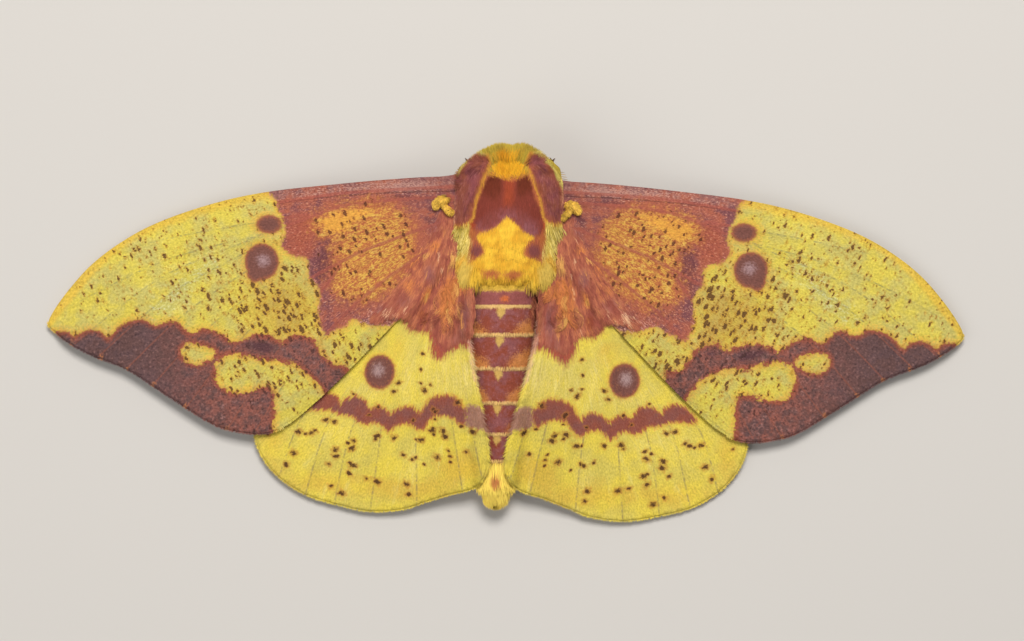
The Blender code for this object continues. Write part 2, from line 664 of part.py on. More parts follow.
def shoulder_lobes():
    """The lobe of long scales over each wing root: a pad that follows the thorax."""
    rows, columns = 9, 7
    for side, sign in SIDES.items():
        mesh = bmesh.new()
        skins = []
        for outer in (False, True):
            grid = []
            for r in range(rows):
                along = r / (rows - 1)
                y = LOBE_REAR + (LOBE_FRONT - LOBE_REAR) * along
                width, _, _ = THORAX.section(y)
                reach = min(0.97, eased(LOBE_INNER, y)[0] / (width + GAP))
                high_angle = math.degrees(math.acos(reach))
                low_angle = min(angle_over_wing(y), high_angle - 6.0)
                row = []
                for c in range(columns):
                    across = c / (columns - 1)
                    angle = low_angle + (high_angle - low_angle) * across
                    dome = (math.sin(math.pi * across) * math.sin(math.pi * along)) ** 0.5
                    out = GAP + (LOBE_EDGE + (LOBE_THICK - LOBE_EDGE) * dome if outer else 0.0)
                    row.append(mesh.verts.new(THORAX.point(y, 90 - sign * (90 - angle), out)))
                grid.append(row)
            skins.append(grid)
        inner, outer = skins
        for r in range(rows - 1):
            for c in range(columns - 1):
                mesh.faces.new((outer[r][c], outer[r][c + 1], outer[r + 1][c + 1], outer[r + 1][c]))
                mesh.faces.new((inner[r][c], inner[r + 1][c], inner[r + 1][c + 1], inner[r][c + 1]))
        rim = [(0, c) for c in range(columns)] + [(r, columns - 1) for r in range(1, rows)]
        rim += [(rows - 1, c) for c in range(columns - 2, -1, -1)] + [(r, 0) for r in range(rows - 2, 0, -1)]
        for (r, c), (s, d) in zip(rim, rim[1:] + rim[:1]):
            mesh.faces.new((outer[r][c], inner[r][c], inner[s][d], outer[s][d]))
        made(f"shoulder_{side}", mesh, "wine")


def main():
    for thing in list(bpy.data.objects):
        bpy.data.objects.remove(thing)
    trunk()
    wings()
    legs()
    feelers()
    shoulder_lobes()


main()
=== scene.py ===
"""The looks of a life-size imperial moth at rest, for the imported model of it.

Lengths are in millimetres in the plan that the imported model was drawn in, and every mesh is moved and
turned into metres as it is made. The plan looks straight down: +Y is towards the head and +X towards the
right wings.
"""

import math

import bpy
import numpy as np
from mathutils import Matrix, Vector
from mathutils.geometry import delaunay_2d_cdt


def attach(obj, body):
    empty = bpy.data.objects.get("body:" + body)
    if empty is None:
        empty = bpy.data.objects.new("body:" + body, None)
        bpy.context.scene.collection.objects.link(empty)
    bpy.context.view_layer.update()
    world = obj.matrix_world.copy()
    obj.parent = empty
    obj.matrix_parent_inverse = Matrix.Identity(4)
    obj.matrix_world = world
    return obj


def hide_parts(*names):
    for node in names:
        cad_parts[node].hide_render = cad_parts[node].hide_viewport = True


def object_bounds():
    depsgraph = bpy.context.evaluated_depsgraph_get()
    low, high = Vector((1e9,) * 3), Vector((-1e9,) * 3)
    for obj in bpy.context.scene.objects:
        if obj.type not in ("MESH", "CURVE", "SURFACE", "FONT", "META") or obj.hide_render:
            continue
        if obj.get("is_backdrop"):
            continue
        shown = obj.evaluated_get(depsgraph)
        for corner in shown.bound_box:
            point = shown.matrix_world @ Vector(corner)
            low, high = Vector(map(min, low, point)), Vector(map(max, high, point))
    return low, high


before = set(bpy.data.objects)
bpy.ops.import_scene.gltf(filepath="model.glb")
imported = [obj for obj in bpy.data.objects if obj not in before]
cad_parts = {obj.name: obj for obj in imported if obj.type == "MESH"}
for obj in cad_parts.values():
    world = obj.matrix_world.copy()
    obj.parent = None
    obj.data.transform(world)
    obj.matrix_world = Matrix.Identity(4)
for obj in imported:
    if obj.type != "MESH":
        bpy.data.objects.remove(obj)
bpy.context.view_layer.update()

MM = 0.001
MIDDLE = (-0.29, 0.157, 0.0)  # the plan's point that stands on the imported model's origin
SIDES = {"right": 1.0, "left": -1.0}


def eased(stations, at):
    """The stations' other columns at these places, on one smooth curve through them, level past the ends."""
    table = np.array(stations, float)
    at = np.clip(np.asarray(at, float), table[0, 0], table[-1, 0])
    index = np.clip(np.searchsorted(table[:, 0], at, side="right") - 1, 0, len(table) - 2)
    low, high = table[index], table[index + 1]
    before, after = table[np.maximum(index - 1, 0)], table[np.minimum(index + 2, len(table) - 1)]
    span = (high - low)[..., :1]
    t = (at[..., None] - low[..., :1]) / span
    start = (high - before) / (high - before)[..., :1] * span
    end = (after - low) / (after - low)[..., :1] * span
    rise = high - low
    value = low + start * t + (3 * rise - 2 * start - end) * t**2 + (start + end - 2 * rise) * t**3
    return value[..., 1:]


def smooth_line(points, step, closed=False):
    """Points about one step apart on a smooth curve through the given ones."""
    given = np.array(points, float)
    count = len(given)
    line = []
    for index in range(count if closed else count - 1):
        places = [index - 1, index, index + 1, index + 2]
        places = [p % count if closed else min(max(p, 0), count - 1) for p in places]
        p0, p1, p2, p3 = given[places]
        pieces = max(1, round(float(np.linalg.norm(p2 - p1)) / step))
        t = (np.arange(pieces) / pieces)[:, None]
        bend = (2 * p0 - 5 * p1 + 4 * p2 - p3) * t**2 + (3 * p1 - p0 - 3 * p2 + p3) * t**3
        line.append(p1 + 0.5 * ((p2 - p0) * t + bend))
    if not closed:
        line.append(given[-1:])
    return np.concatenate(line)


def away(points, line, closed=False):
    """The least distance from each point to the line."""
    line = np.asarray(line, float)
    if closed:
        line = np.vstack([line, line[:1]])
    least = np.full(len(points), 1e9)
    for a, b in zip(line, line[1:]):
        along = b - a
        share = np.clip((points - a) @ along / max(along @ along, 1e-12), 0.0, 1.0)
        least = np.minimum(least, np.linalg.norm(points - a - share[:, None] * along, axis=1))
    return least


def within(points, outline):
    """Whether each point lies within the closed outline."""
    odd = np.zeros(len(points), bool)
    for (ax, ay), (bx, by) in zip(outline, np.roll(outline, -1, axis=0)):
        if ay != by:
            spans = (ay > points[:, 1]) != (by > points[:, 1])
            odd ^= spans & (points[:, 0] < ax + (bx - ax) * (points[:, 1] - ay) / (by - ay))
    return odd


def depth_in(points, corners, step=0.5):
    """How deep each point lies within the smooth outline through the corners, negative outside it."""
    outline = smooth_line(corners, step, closed=True)
    least = away(points, outline, closed=True)
    return np.where(within(points, outline), least, -least)


def round_depth(points, centre, radii):
    """How deep each point lies within an ellipse, negative outside it."""
    scaled = np.linalg.norm((points - np.array(centre)) / np.array(radii), axis=1)
    return (1.0 - scaled) * min(radii)


def put(name, places, faces, finish, fields=None):
    """A new mesh object from places in plan millimetres, with its fields as attributes."""
    mesh = bpy.data.meshes.new(name)
    mesh.from_pydata((np.asarray(places) - np.array(MIDDLE)) * MM, [], np.asarray(faces))
    mesh.update()
    for key, values in (fields or {}).items():
        values = np.asarray(values, np.float32)
        kind = "FLOAT_VECTOR" if values.ndim == 2 else "FLOAT"
        attribute = mesh.attributes.new(key, kind, "POINT")
        attribute.data.foreach_set("vector" if values.ndim == 2 else "value", values.ravel())
    mesh.shade_smooth()
    mesh.materials.append(finish)
    thing = bpy.data.objects.new(name, mesh)
    bpy.context.scene.collection.objects.link(thing)
    return thing


# Materials are written as sums: a Value is one output of a node, and arithmetic on it adds nodes.


class Value:
    """One output of a shader node."""

    def __init__(self, finish, socket):
        self.finish, self.socket = finish, socket

    def made(self, operation, *others):
        return self.finish.node("ShaderNodeMath", {"operation": operation}, *others)

    def __add__(self, other):
        return self.made("ADD", self, other)

    def __sub__(self, other):
        return self.made("SUBTRACT", self, other)

    def __rsub__(self, other):
        return self.made("SUBTRACT", other, self)

    def __mul__(self, other):
        return self.made("MULTIPLY", self, other)

    def __truediv__(self, other):
        return self.made("DIVIDE", self, other)

    def __rtruediv__(self, other):
        return self.made("DIVIDE", other, self)

    def __neg__(self):
        return self.made("MULTIPLY", self, -1.0)

    __radd__, __rmul__ = __add__, __mul__

    def least(self, other):
        return self.made("MINIMUM", self, other)

    def most(self, other):
        return self.made("MAXIMUM", self, other)

    def size(self):
        return self.made("ABSOLUTE", self)

    def rise(self, low, high):
        """Nought below low and one above high, with an easy slope between."""
        settings = {"interpolation_type": "SMOOTHSTEP", "clamp": True}
        return self.finish.node("ShaderNodeMapRange", settings, self, low, high, 0.0, 1.0)


def rgb(red, green, blue):
    """A colour as a screen shows it, from 0 to 255, in the linear values that a shader takes."""
    def linear(level):
        share = level / 255
        return share / 12.92 if share <= 0.04045 else ((share + 0.055) / 1.055) ** 2.4
    return (linear(red), linear(green), linear(blue), 1.0)


class Finish:
    """A material, with its nodes added by name and joined to its Principled shader."""

    def __init__(self, name):
        self.material = bpy.data.materials.new(name)
        self.material.use_nodes = True
        self.tree = self.material.node_tree
        self.shader = self.tree.nodes["Principled BSDF"]

    def node(self, kind, settings, *values, output=0, numbered=None, **named):
        """Adds a node, gives it its settings, and fills its inputs in order, by number or by name."""
        made = self.tree.nodes.new(kind)
        for key, value in settings.items():
            setattr(made, key, value)
        for key, value in [*enumerate(values), *(numbered or {}).items(), *named.items()]:
            self.fill(made.inputs[key], value)
        return Value(self, made.outputs[output])

    def fill(self, entry, value):
        """Joins a Value to an input, or sets the input to a number or a colour."""
        if isinstance(value, Value):
            self.tree.links.new(value.socket, entry)
        else:
            entry.default_value = value

    def field(self, name):
        """A number that the mesh carries at each point."""
        return self.node("ShaderNodeAttribute", {"attribute_name": name}, output="Fac")

    def place(self, name, stretch=(1.0, 1.0, 1.0)):
        """A position that the mesh carries at each point, stretched."""
        where = self.node("ShaderNodeAttribute", {"attribute_name": name}, output="Vector")
        return self.node("ShaderNodeVectorMath", {"operation": "MULTIPLY"}, where, stretch)

    def noise(self, place, scale, detail=2.0, roughness=0.5):
        """Cloudy noise, mostly between 0.3 and 0.7."""
        inputs = {"Vector": place, "Scale": scale, "Detail": detail, "Roughness": roughness}
        return self.node("ShaderNodeTexNoise", {}, output="Fac", **inputs)

    def cells(self, place, scale, output):
        """The distance to the nearest of many scattered points, or that point's own chance colour."""
        return self.node("ShaderNodeTexVoronoi", {}, Vector=place, Scale=scale, output=output)

    def mix(self, share, first, second, blend="MIX"):
        """The first colour, turned into the second by the share."""
        settings = {"data_type": "RGBA", "blend_type": blend, "clamp_factor": True}
        return self.node("ShaderNodeMix", settings, share, output=2, numbered={6: first, 7: second})

    def laid(self, colour, *layers):
        """The colour with others laid over it in order, each given as its share, red, green and blue."""
        for share, *levels in layers:
            colour = self.mix(share, colour, rgb(*levels))
        return colour

    def done(self, colour, roughness, height=None, strength=0.5, distance=0.1, **plain):
        """Joins colour, roughness and relief to the shader."""
        self.fill(self.shader.inputs["Base Color"], colour)
        self.fill(self.shader.inputs["Roughness"], roughness)
        for key, value in plain.items():
            self.shader.inputs[key.replace("_", " ")].default_value = value
        if height is not None:
            inputs = {"Strength": strength, "Distance": distance * MM, "Height": height}
            relief = self.node("ShaderNodeBump", {}, **inputs)
            self.fill(self.shader.inputs["Normal"], relief)
        return self.material


# The body. A moth's body is soft plates under a thick coat of hair-like scales: a head tucked low in front,
# a barrel of a thorax that holds the wing muscles, and a tapering abdomen of rings. One skin stands in for
# them, a coat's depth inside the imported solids.

SPINE = [(-22.0, -1.65), (-10.0, -1.4), (3.0, -0.9), (8.0, -0.35), (14.0, 0.0), (24.0, 0.3)]
THORAX_STATIONS = [
    (5.0, 5.7, 10.7, 3.0),
    (8.0, 6.2, 11.5, 2.5),
    (12.0, 6.5, 12.3, 2.2),
    (16.0, 6.5, 12.6, 2.2),
    (19.0, 6.4, 12.2, 2.6),
    (21.5, 6.1, 11.3, 4.4),
    (24.4, 5.3, 9.9, 6.4),
]
ABDOMEN_STATIONS = [
    (-21.4, 1.9, 4.4, 1.4),
    (-19.4, 2.4, 5.2, 1.2),
    (-17.0, 2.9, 5.9, 1.1),
    (-13.0, 3.6, 6.9, 1.0),
    (-8.0, 4.35, 8.1, 1.0),
    (-2.0, 4.9, 9.4, 1.1),
    (3.5, 5.15, 10.2, 1.4),
    (8.0, 4.8, 10.0, 2.4),
]
HEAD_STATIONS = [
    (19.8, 2.9, 7.2, 2.6),
    (22.0, 3.3, 7.8, 2.3),
    (23.8, 3.3, 8.0, 2.4),
    (25.0, 3.0, 7.8, 2.9),
]
RING_EDGES = [3.7, 0.0, -4.4, -8.9, -13.0, -16.6, -19.6]


def spine_x(y):
    return eased(SPINE, y)[..., 0]


class Loft:
    """A round body along the spine, through its stations, with rounded ends."""

    def __init__(self, stations, ends, step=0.0):
        self.stations, self.ends, self.step = stations, ends, step
        self.rear, self.front = stations[0][0], stations[-1][0]

    def overhang(self, y):
        """The extra girth of a ring that overhangs the next one to its rear."""
        extra = np.zeros_like(y)
        for behind, ahead in zip(RING_EDGES[1:], RING_EDGES):
            inside = (y >= behind) & (y < ahead)
            extra = np.where(inside, self.step * (1.0 - (y - behind) / (ahead - behind)), extra)
        return extra

    def section(self, y, out=0.0):
        """Half the width, the middle's height and half the height at y."""
        width, top, bottom = np.moveaxis(eased(self.stations, y), -1, 0)
        share = np.minimum((y - self.rear + out) / self.ends[0], (self.front - y + out) / self.ends[1])
        share = np.sqrt(np.clip(1.0 - (1.0 - np.clip(share, 0.0, 1.0)) ** 2, 0.0, 1.0))
        extra = out + self.overhang(y)
        return (width + extra) * share, (top + bottom) / 2, ((top - bottom) / 2 + extra) * share

    def skin(self, y, angle, out=0.0):
        """The places on the skin at y and at this angle up from the right side, moved outwards."""
        y, angle = np.broadcast_arrays(np.asarray(y, float), np.asarray(angle, float))
        width, middle, height = self.section(y, out)
        return np.stack([spine_x(y) + width * np.cos(angle), y, middle + height * np.sin(angle)], axis=-1)

    def top_at(self, x, y, out):
        """The height of the skin straight over (x, y), or far below where the body isn't."""
        width, middle, height = self.section(y, out)
        share = np.abs(x - spine_x(y)) / np.maximum(width, 0.001)
        over = middle + height * np.sqrt(np.clip(1.0 - share**2, 0.0, 1.0))
        missing = (y < self.rear - out) | (y > self.front + out) | (share >= 1.0)
        return np.where(missing, -10.0, over)


THORAX = Loft(THORAX_STATIONS, (2.4, 3.6))
ABDOMEN = Loft(ABDOMEN_STATIONS, (1.8, 1.5), step=0.2)
HEAD = Loft(HEAD_STATIONS, (1.0, 1.9))
COAT_DEPTH = {"thorax": 0.55, "abdomen": 0.3, "head": 0.45}

# Markings of the body, seen from above. The outlines run a little past the body's edge where they reach it.
SADDLE = [
    (-2.2, 20.4), (0.2, 19.7), (2.5, 20.3), (3.4, 18.0), (4.3, 15.6), (4.9, 13.8), (4.5, 12.9),
    (3.4, 12.6), (2.0, 13.3), (1.1, 14.2), (-0.2, 15.1), (-1.1, 14.2), (-2.5, 13.4), (-4.4, 13.5),
    (-5.0, 14.2), (-4.2, 16.4), (-3.3, 18.4),
]  # fmt: skip
STAR = [
    (-0.2, 15.1), (1.2, 14.1), (2.0, 13.2), (3.4, 12.5), (2.5, 11.6), (2.1, 10.2), (3.7, 9.5), (5.6, 8.6),
    (6.5, 5.0), (-7.0, 5.0), (-6.2, 8.6), (-4.9, 9.2), (-3.5, 10.1), (-3.1, 10.9), (-4.1, 12.6),
    (-2.4, 13.3), (-1.1, 14.1),
]  # fmt: skip
SHOULDERS = [
    [(2.5, 22.4), (3.0, 23.0), (3.8, 23.1), (4.7, 22.5), (5.5, 21.6), (6.1, 20.7), (6.6, 19.7), (7.2, 18.5),
     (9.0, 17.0), (9.0, 15.0), (6.4, 14.2), (4.9, 14.7), (4.4, 16.8), (3.4, 19.8)],
    [(-2.4, 22.4), (-3.1, 23.0), (-4.0, 23.1), (-5.0, 22.5), (-5.8, 21.6), (-6.4, 20.8), (-7.0, 19.7),
     (-7.5, 18.5), (-9.4, 17.0), (-9.4, 14.8), (-6.4, 14.0), (-4.8, 14.7), (-4.3, 16.8), (-3.3, 19.8)],
]  # fmt: skip
FRONT_PATCH = [(-2.0, 20.2), (-2.2, 21.7), (-1.7, 22.9), (-0.5, 23.5), (0.9, 23.6), (2.1, 22.9), (2.5, 21.7),
               (2.2, 20.2), (0.2, 19.8)]  # fmt: skip
DARK_SPOTS = [((-4.1, 10.7), (0.8, 0.75)), ((3.35, 10.7), (0.85, 0.85))]
ORANGE_ARCS = [((-2.2, 7.7), (1.2, 0.6)), ((0.6, 7.6), (1.2, 0.5)), ((-4.7, 12.9), (0.6, 0.8)),
               ((4.5, 12.2), (0.5, 0.8))]  # fmt: skip
TAIL_PATCH = ((-1.6, -19.4), (0.75, 0.85))
FIRST_SPOT = ((-0.4, 4.5), (0.8, 0.6))
WAIST, TAIL_END, THORAX_RING = 5.5, -22.0, 1.5


def shaded(made, colour, light):
    """The colour made lighter or darker by a number."""
    return made.mix(1.0, colour, made.node("ShaderNodeCombineColor", {}, light, light, light), "MULTIPLY")


def spots_depth(points, spots):
    """How deep each point lies within the nearest of several ellipses."""
    return np.max([round_depth(points, centre, radii) for centre, radii in spots], axis=0)


def body_fields(places):
    """What the body's skin and coat carry at these places: how deep each lies in every marking."""
    flat = places[:, :2]
    x, y, z = places.T
    fields = {
        "saddle": depth_in(flat, SADDLE),
        "star": depth_in(flat, STAR),
        "shoulder": np.max([depth_in(flat, outline) for outline in SHOULDERS], axis=0),
        "front": depth_in(flat, FRONT_PATCH),
        "dark_spots": spots_depth(flat, DARK_SPOTS),
        "arcs": spots_depth(flat, ORANGE_ARCS),
        "tail_patch": round_depth(flat, *TAIL_PATCH),
        "first_spot": round_depth(flat, *FIRST_SPOT),
        "aside": np.abs(x - spine_x(y)),
        "along": y,
        "up": z - np.where(y > WAIST, THORAX.section(y)[1], ABDOMEN.section(y)[1]),
        "place": places,
        "tone": np.full(len(y), 0.5),
        # the bare skin counts as a tuft's root, so the finish paints it in the coat's shade
        "tip": np.zeros(len(y)),
    }
    ring = np.zeros(len(y))
    for behind, ahead in zip([*RING_EDGES[1:], TAIL_END], RING_EDGES):
        ring = np.where((y >= behind) & (y < ahead), ahead - y, ring)
    fields["behind_edge"] = np.where(y >= RING_EDGES[0], THORAX_RING, ring)
    return fields


def body_finish():
    """Yellow fur, with a wine saddle and shoulders on the thorax, and wine rings behind it."""
    made = Finish("body_coat")
    place = made.place("place")
    cloud = made.noise(place, 0.55, 3.0) - 0.5
    grain = made.noise(place, 5.0, 2.0, 0.7) - 0.5
    clump = made.noise(place, 1.9, 3.0, 0.7) - 0.5
    tone, tip = made.field("tone"), made.field("tip")
    aside, along, up = made.field("aside"), made.field("along"), made.field("up")
    ragged = cloud + clump * 0.5 + grain * 1.1 + (tone - 0.5) * 0.4
    light_hair = (grain + clump).rise(0.1, 0.4)
    dark_hair = (-grain - clump).rise(0.1, 0.4)

    def marking(name, wear=0.6):
        """How deep the fur lies in a marking whose edge is roughened."""
        return made.field(name) + ragged * wear

    sides = made.laid(
        rgb(208, 180, 80),
        ((cloud * 2.0 + tone - 0.5).rise(-0.3, 0.4), 232, 206, 118),
        ((ragged * 1.4).rise(0.3, 0.55), 150, 128, 60),
        ((along + ragged * 2.0).rise(10.5, 8.8), 224, 170, 66),
        ((along + ragged * 2.0).rise(8.4, 6.8) * 0.85, 206, 122, 60),
    )
    flank = made.laid(rgb(176, 98, 58), ((cloud * 2.4 + tone - 0.5).rise(-0.4, 0.5), 148, 74, 58))
    thorax = made.mix((aside + ragged * 1.2).rise(4.35, 5.0), flank, sides)
    # Painted shade: darker streaks and thin crease lines across the star, as shade between ridges of fur.
    ridge = made.noise(made.place("place", (0.35, 1.5, 0.4)), 1.0, 2.0) - 0.5
    painted_crease_shade = (0.022 - (ridge + clump * 0.1).size()).rise(0.0, 0.02) * (12.6 - along).rise(0.0, 1.5)
    golden = made.laid(
        rgb(232, 184, 58),
        ((cloud * 2.0 + ragged * 0.5).rise(-0.3, 0.3), 216, 160, 46),
        ((ridge + grain * 0.3).rise(0.04, 0.18) * 0.6, 190, 134, 42),
        (painted_crease_shade * 0.6, 150, 104, 30),
        ((aside + ragged).rise(3.9, 5.0) * (9.6 - along).rise(0.0, 1.0), 214, 178, 82),
        ((6.8 - along + ragged).rise(0.0, 1.0) * 0.7, 204, 170, 70),
    )
    thorax = made.mix(marking("star").rise(-0.2, 0.22), thorax, golden)
    rim = made.laid(rgb(188, 160, 58), ((cloud + clump).rise(-0.2, 0.25), 154, 128, 48))
    thorax = made.mix((along + ragged).rise(20.0, 21.4), thorax, rim)
    amber = made.laid(rgb(228, 170, 40), ((cloud + grain).rise(-0.3, 0.3), 204, 136, 28))
    thorax = made.mix(marking("front", 1.4).rise(-0.4, 0.9), thorax, amber)
    thorax = made.laid(thorax, (marking("arcs").rise(-0.2, 0.3), 172, 98, 54))

    violet = made.laid(
        rgb(128, 64, 56),
        ((cloud * 2.0 + clump).rise(-0.3, 0.4), 138, 82, 84),
        (light_hair * 0.4, 160, 106, 108),
    )
    middle = (1.1 - aside).rise(0.0, 0.9) * (along + cloud * 2.0).rise(15.6, 17.4)
    saddle = made.laid(
        made.mix((along + aside * 0.5 + cloud * 3.0).rise(17.4, 15.2), rgb(124, 56, 44), violet),
        ((along + cloud * 3.0).rise(16.6, 19.4) * aside.rise(0.5, 1.4) * 0.85, 98, 42, 24),
        (middle * 0.85, 152, 66, 40),
        ((aside + ragged).rise(3.9, 4.8) * (15.4 - along).rise(0.0, 1.5), 156, 66, 36),
    )
    thorax = made.mix(marking("saddle", 0.55).rise(-0.2, 0.26), thorax, saddle)
    thorax = made.laid(thorax, (marking("dark_spots").rise(-0.2, 0.3), 126, 68, 64))

    shoulder = made.field("shoulder")
    plume = made.laid(
        rgb(132, 70, 70),
        ((cloud * 2.0 + clump).rise(-0.3, 0.3), 140, 76, 58),
        ((grain + clump + tone * 0.2).rise(0.1, 0.4) * 0.45, 164, 108, 104),
        (dark_hair * 0.4, 104, 56, 50),
        ((along + cloud * 3.0 - aside * 0.9).rise(19.0, 21.0) * 0.7, 106, 46, 30),
        ((0.85 - shoulder + ragged * 0.4).rise(0.0, 0.8) * 0.5, 158, 82, 50),
        ((aside + ragged * 0.7).rise(6.7, 7.3) * (20.4 - along).rise(0.0, 0.6), 196, 138, 104),
    )
    border = made.laid(
        rgb(198, 138, 52),
        ((aside + along * 0.55 + ragged * 0.5).rise(15.3, 16.1), 208, 190, 98),
    )
    thorax = made.mix((shoulder + 0.45 + ragged * 0.5).rise(0.0, 0.35), thorax, border)
    thorax = made.mix((shoulder + ragged * 0.5).rise(-0.18, 0.25), thorax, plume)

    ring = made.field("behind_edge")
    wedge = (0.72 - aside - (ring - 1.0).most(0.0) * 0.7 + ragged * 0.5).rise(0.0, 0.45)
    lower = ((ring - 2.3) * 0.6 + (aside - 1.6) * 0.4 + ragged * 1.5).rise(0.2, 1.1) * aside.rise(0.6, 1.8)
    rings = made.laid(
        rgb(142, 70, 52),
        ((cloud * 2.0 + clump).rise(-0.3, 0.3), 140, 82, 80),
        (light_hair * 0.5, 172, 112, 106),
        (dark_hair * 0.4, 112, 54, 44),
        (lower * 0.85, 204, 132, 68),
        (wedge * 0.85, 208, 170, 88),
    )
    first = made.laid(rgb(132, 68, 58), (cloud + clump + 0.5, 154, 90, 88))
    rings = made.laid(
        made.mix((along + ragged * 0.1).rise(3.7, 3.85), rings, first),
        ((0.56 - ring + ragged * 0.5).rise(0.0, 0.35) * 0.9, 222, 180, 110),
        (marking("first_spot").rise(-0.1, 0.5) * 0.8, 206, 108, 50),
        ((-16.7 - along + ragged * 0.9).rise(0.0, 0.8), 250, 216, 96),
        (marking("tail_patch", 0.5).rise(-0.15, 0.35), 196, 124, 70),
    )

    colour = made.mix((along + ragged * 0.7).rise(5.3, 5.9), rings, thorax)
    colour = made.laid(colour, ((-1.4 - up + ragged).rise(0.0, 1.6), 216, 176, 84))
    # Painted shade: tufts darken towards their roots and the bare skin most, as in the coat's shade.
    light = 0.86 + tip * 0.22 + tone * 0.3 + grain * 0.5 + clump * 0.45
    return made.done(shaded(made, colour, light), 0.85, grain, 0.2, 0.2, Specular_IOR_Level=0.15)


BODY_FINISH = body_finish()

# The shoulder lobes: how far from the midline they begin at each y, and how high they stand.
LOBE_INNER = [(13.0, 5.2), (16.0, 4.5), (18.0, 3.7), (20.0, 2.9), (22.9, 2.3)]
LOBE_SWELL = 1.05


def eases(values, low, high):
    """Nought below low and one above high, with an easy slope between."""
    t = np.clip((values - low) / (high - low), 0.0, 1.0)
    return t * t * (3 - 2 * t)


def lobe(y, angle):
    """How much of a shoulder lobe stands on the thorax at y and this angle, from nought to one."""
    aside = np.abs(THORAX.skin(y, angle)[..., 0] - spine_x(y))
    over = aside - eased(LOBE_INNER, y)[..., 0]
    share = eases(over, -0.1, 0.8) * eases(y, 12.8, 14.6) * eases(-y, -23.6, -21.2)
    return share * eases(np.sin(angle), -0.12, 0.1)


def thorax_out(y, angle):
    """How far the thorax's skin stands out of its loft, with the shoulder lobes on it."""
    return LOBE_SWELL * lobe(y, angle) - COAT_DEPTH["thorax"]


def closed_rings(rings, sides, start=0):
    """Triangles of a closed skin over rings of points, whose two poles are numbered after them."""
    index = start + np.arange(rings * sides).reshape(rings, sides)
    a, b = index[:-1], np.roll(index[:-1], -1, axis=1)
    c, d = np.roll(index[1:], -1, axis=1), index[1:]
    pole = np.full(sides, start + rings * sides)
    faces = [np.stack(face, axis=-1).reshape(-1, 3) for face in ((a, b, c), (a, c, d))]
    faces.append(np.stack([pole, np.roll(index[0], -1), index[0]], axis=-1))
    faces.append(np.stack([pole + 1, index[-1], np.roll(index[-1], -1)], axis=-1))
    return np.concatenate(faces)


def lofted_skin(rings=150, sides=120):
    """The skins of abdomen, thorax and head as one mesh, a coat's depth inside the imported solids."""
    places, faces = [], []
    for loft, name in ((ABDOMEN, "abdomen"), (THORAX, "thorax"), (HEAD, "head")):
        share = (1 - np.cos(np.pi * (np.arange(rings) + 0.5) / rings)) / 2
        y = loft.rear + (loft.front - loft.rear) * share
        angle = 2 * np.pi * np.arange(sides) / sides
        y, angle = np.broadcast_arrays(y[:, None], angle[None, :])
        out = thorax_out(y, angle) if loft is THORAX else -COAT_DEPTH[name]
        grid = loft.skin(y, angle, out)
        faces.append(closed_rings(rings, sides, sum(len(part) for part in places)))
        places += [grid.reshape(-1, 3), grid[[0, -1]].mean(axis=1)]
    return np.concatenate(places), np.concatenate(faces)


skin_places, skin_faces = lofted_skin()
body = put("body_skin", skin_places, skin_faces, BODY_FINISH, body_fields(skin_places))
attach(body, "root")
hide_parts("thorax", "abdomen", "head", "shoulder_left", "shoulder_right")


# The coat. Hair-like scales cover the body in tufts that lie backwards. Each tuft is a thin, closed,
# three-sided blade from the skin to a point. They are short on the abdomen, long at the sides and the tail.

TUFT_RINGS = {
    "short": ([0.0, 0.5, 1.0], [0.75, 1.0, 0.0]),
    "long": ([0.0, 0.35, 0.72, 1.0], [0.6, 1.0, 0.7, 0.0]),
    "curled": ([0.0, 0.15, 0.3, 0.45, 0.6, 0.75, 0.9, 1.0], [0.6, 0.9, 1.0, 1.0, 0.9, 0.75, 0.5, 0.0]),
}
PATCH, PATCH_MARGIN = 0.003, 0.004  # each tuft's patch on the unwrap, and how near the edge it may lie
FINE_WIDTH = 0.085


def bowed(roots, bend, ends):
    """Centres of long tufts that bow from their roots towards the bend and on to their ends."""
    shares = np.array(TUFT_RINGS["long"][0])[:, None, None]
    return roots * (1 - shares) ** 2 + bend * 2 * shares * (1 - shares) + ends * shares**2


def unit(vectors):
    return vectors / np.maximum(np.linalg.norm(vectors, axis=-1, keepdims=True), 1e-9)


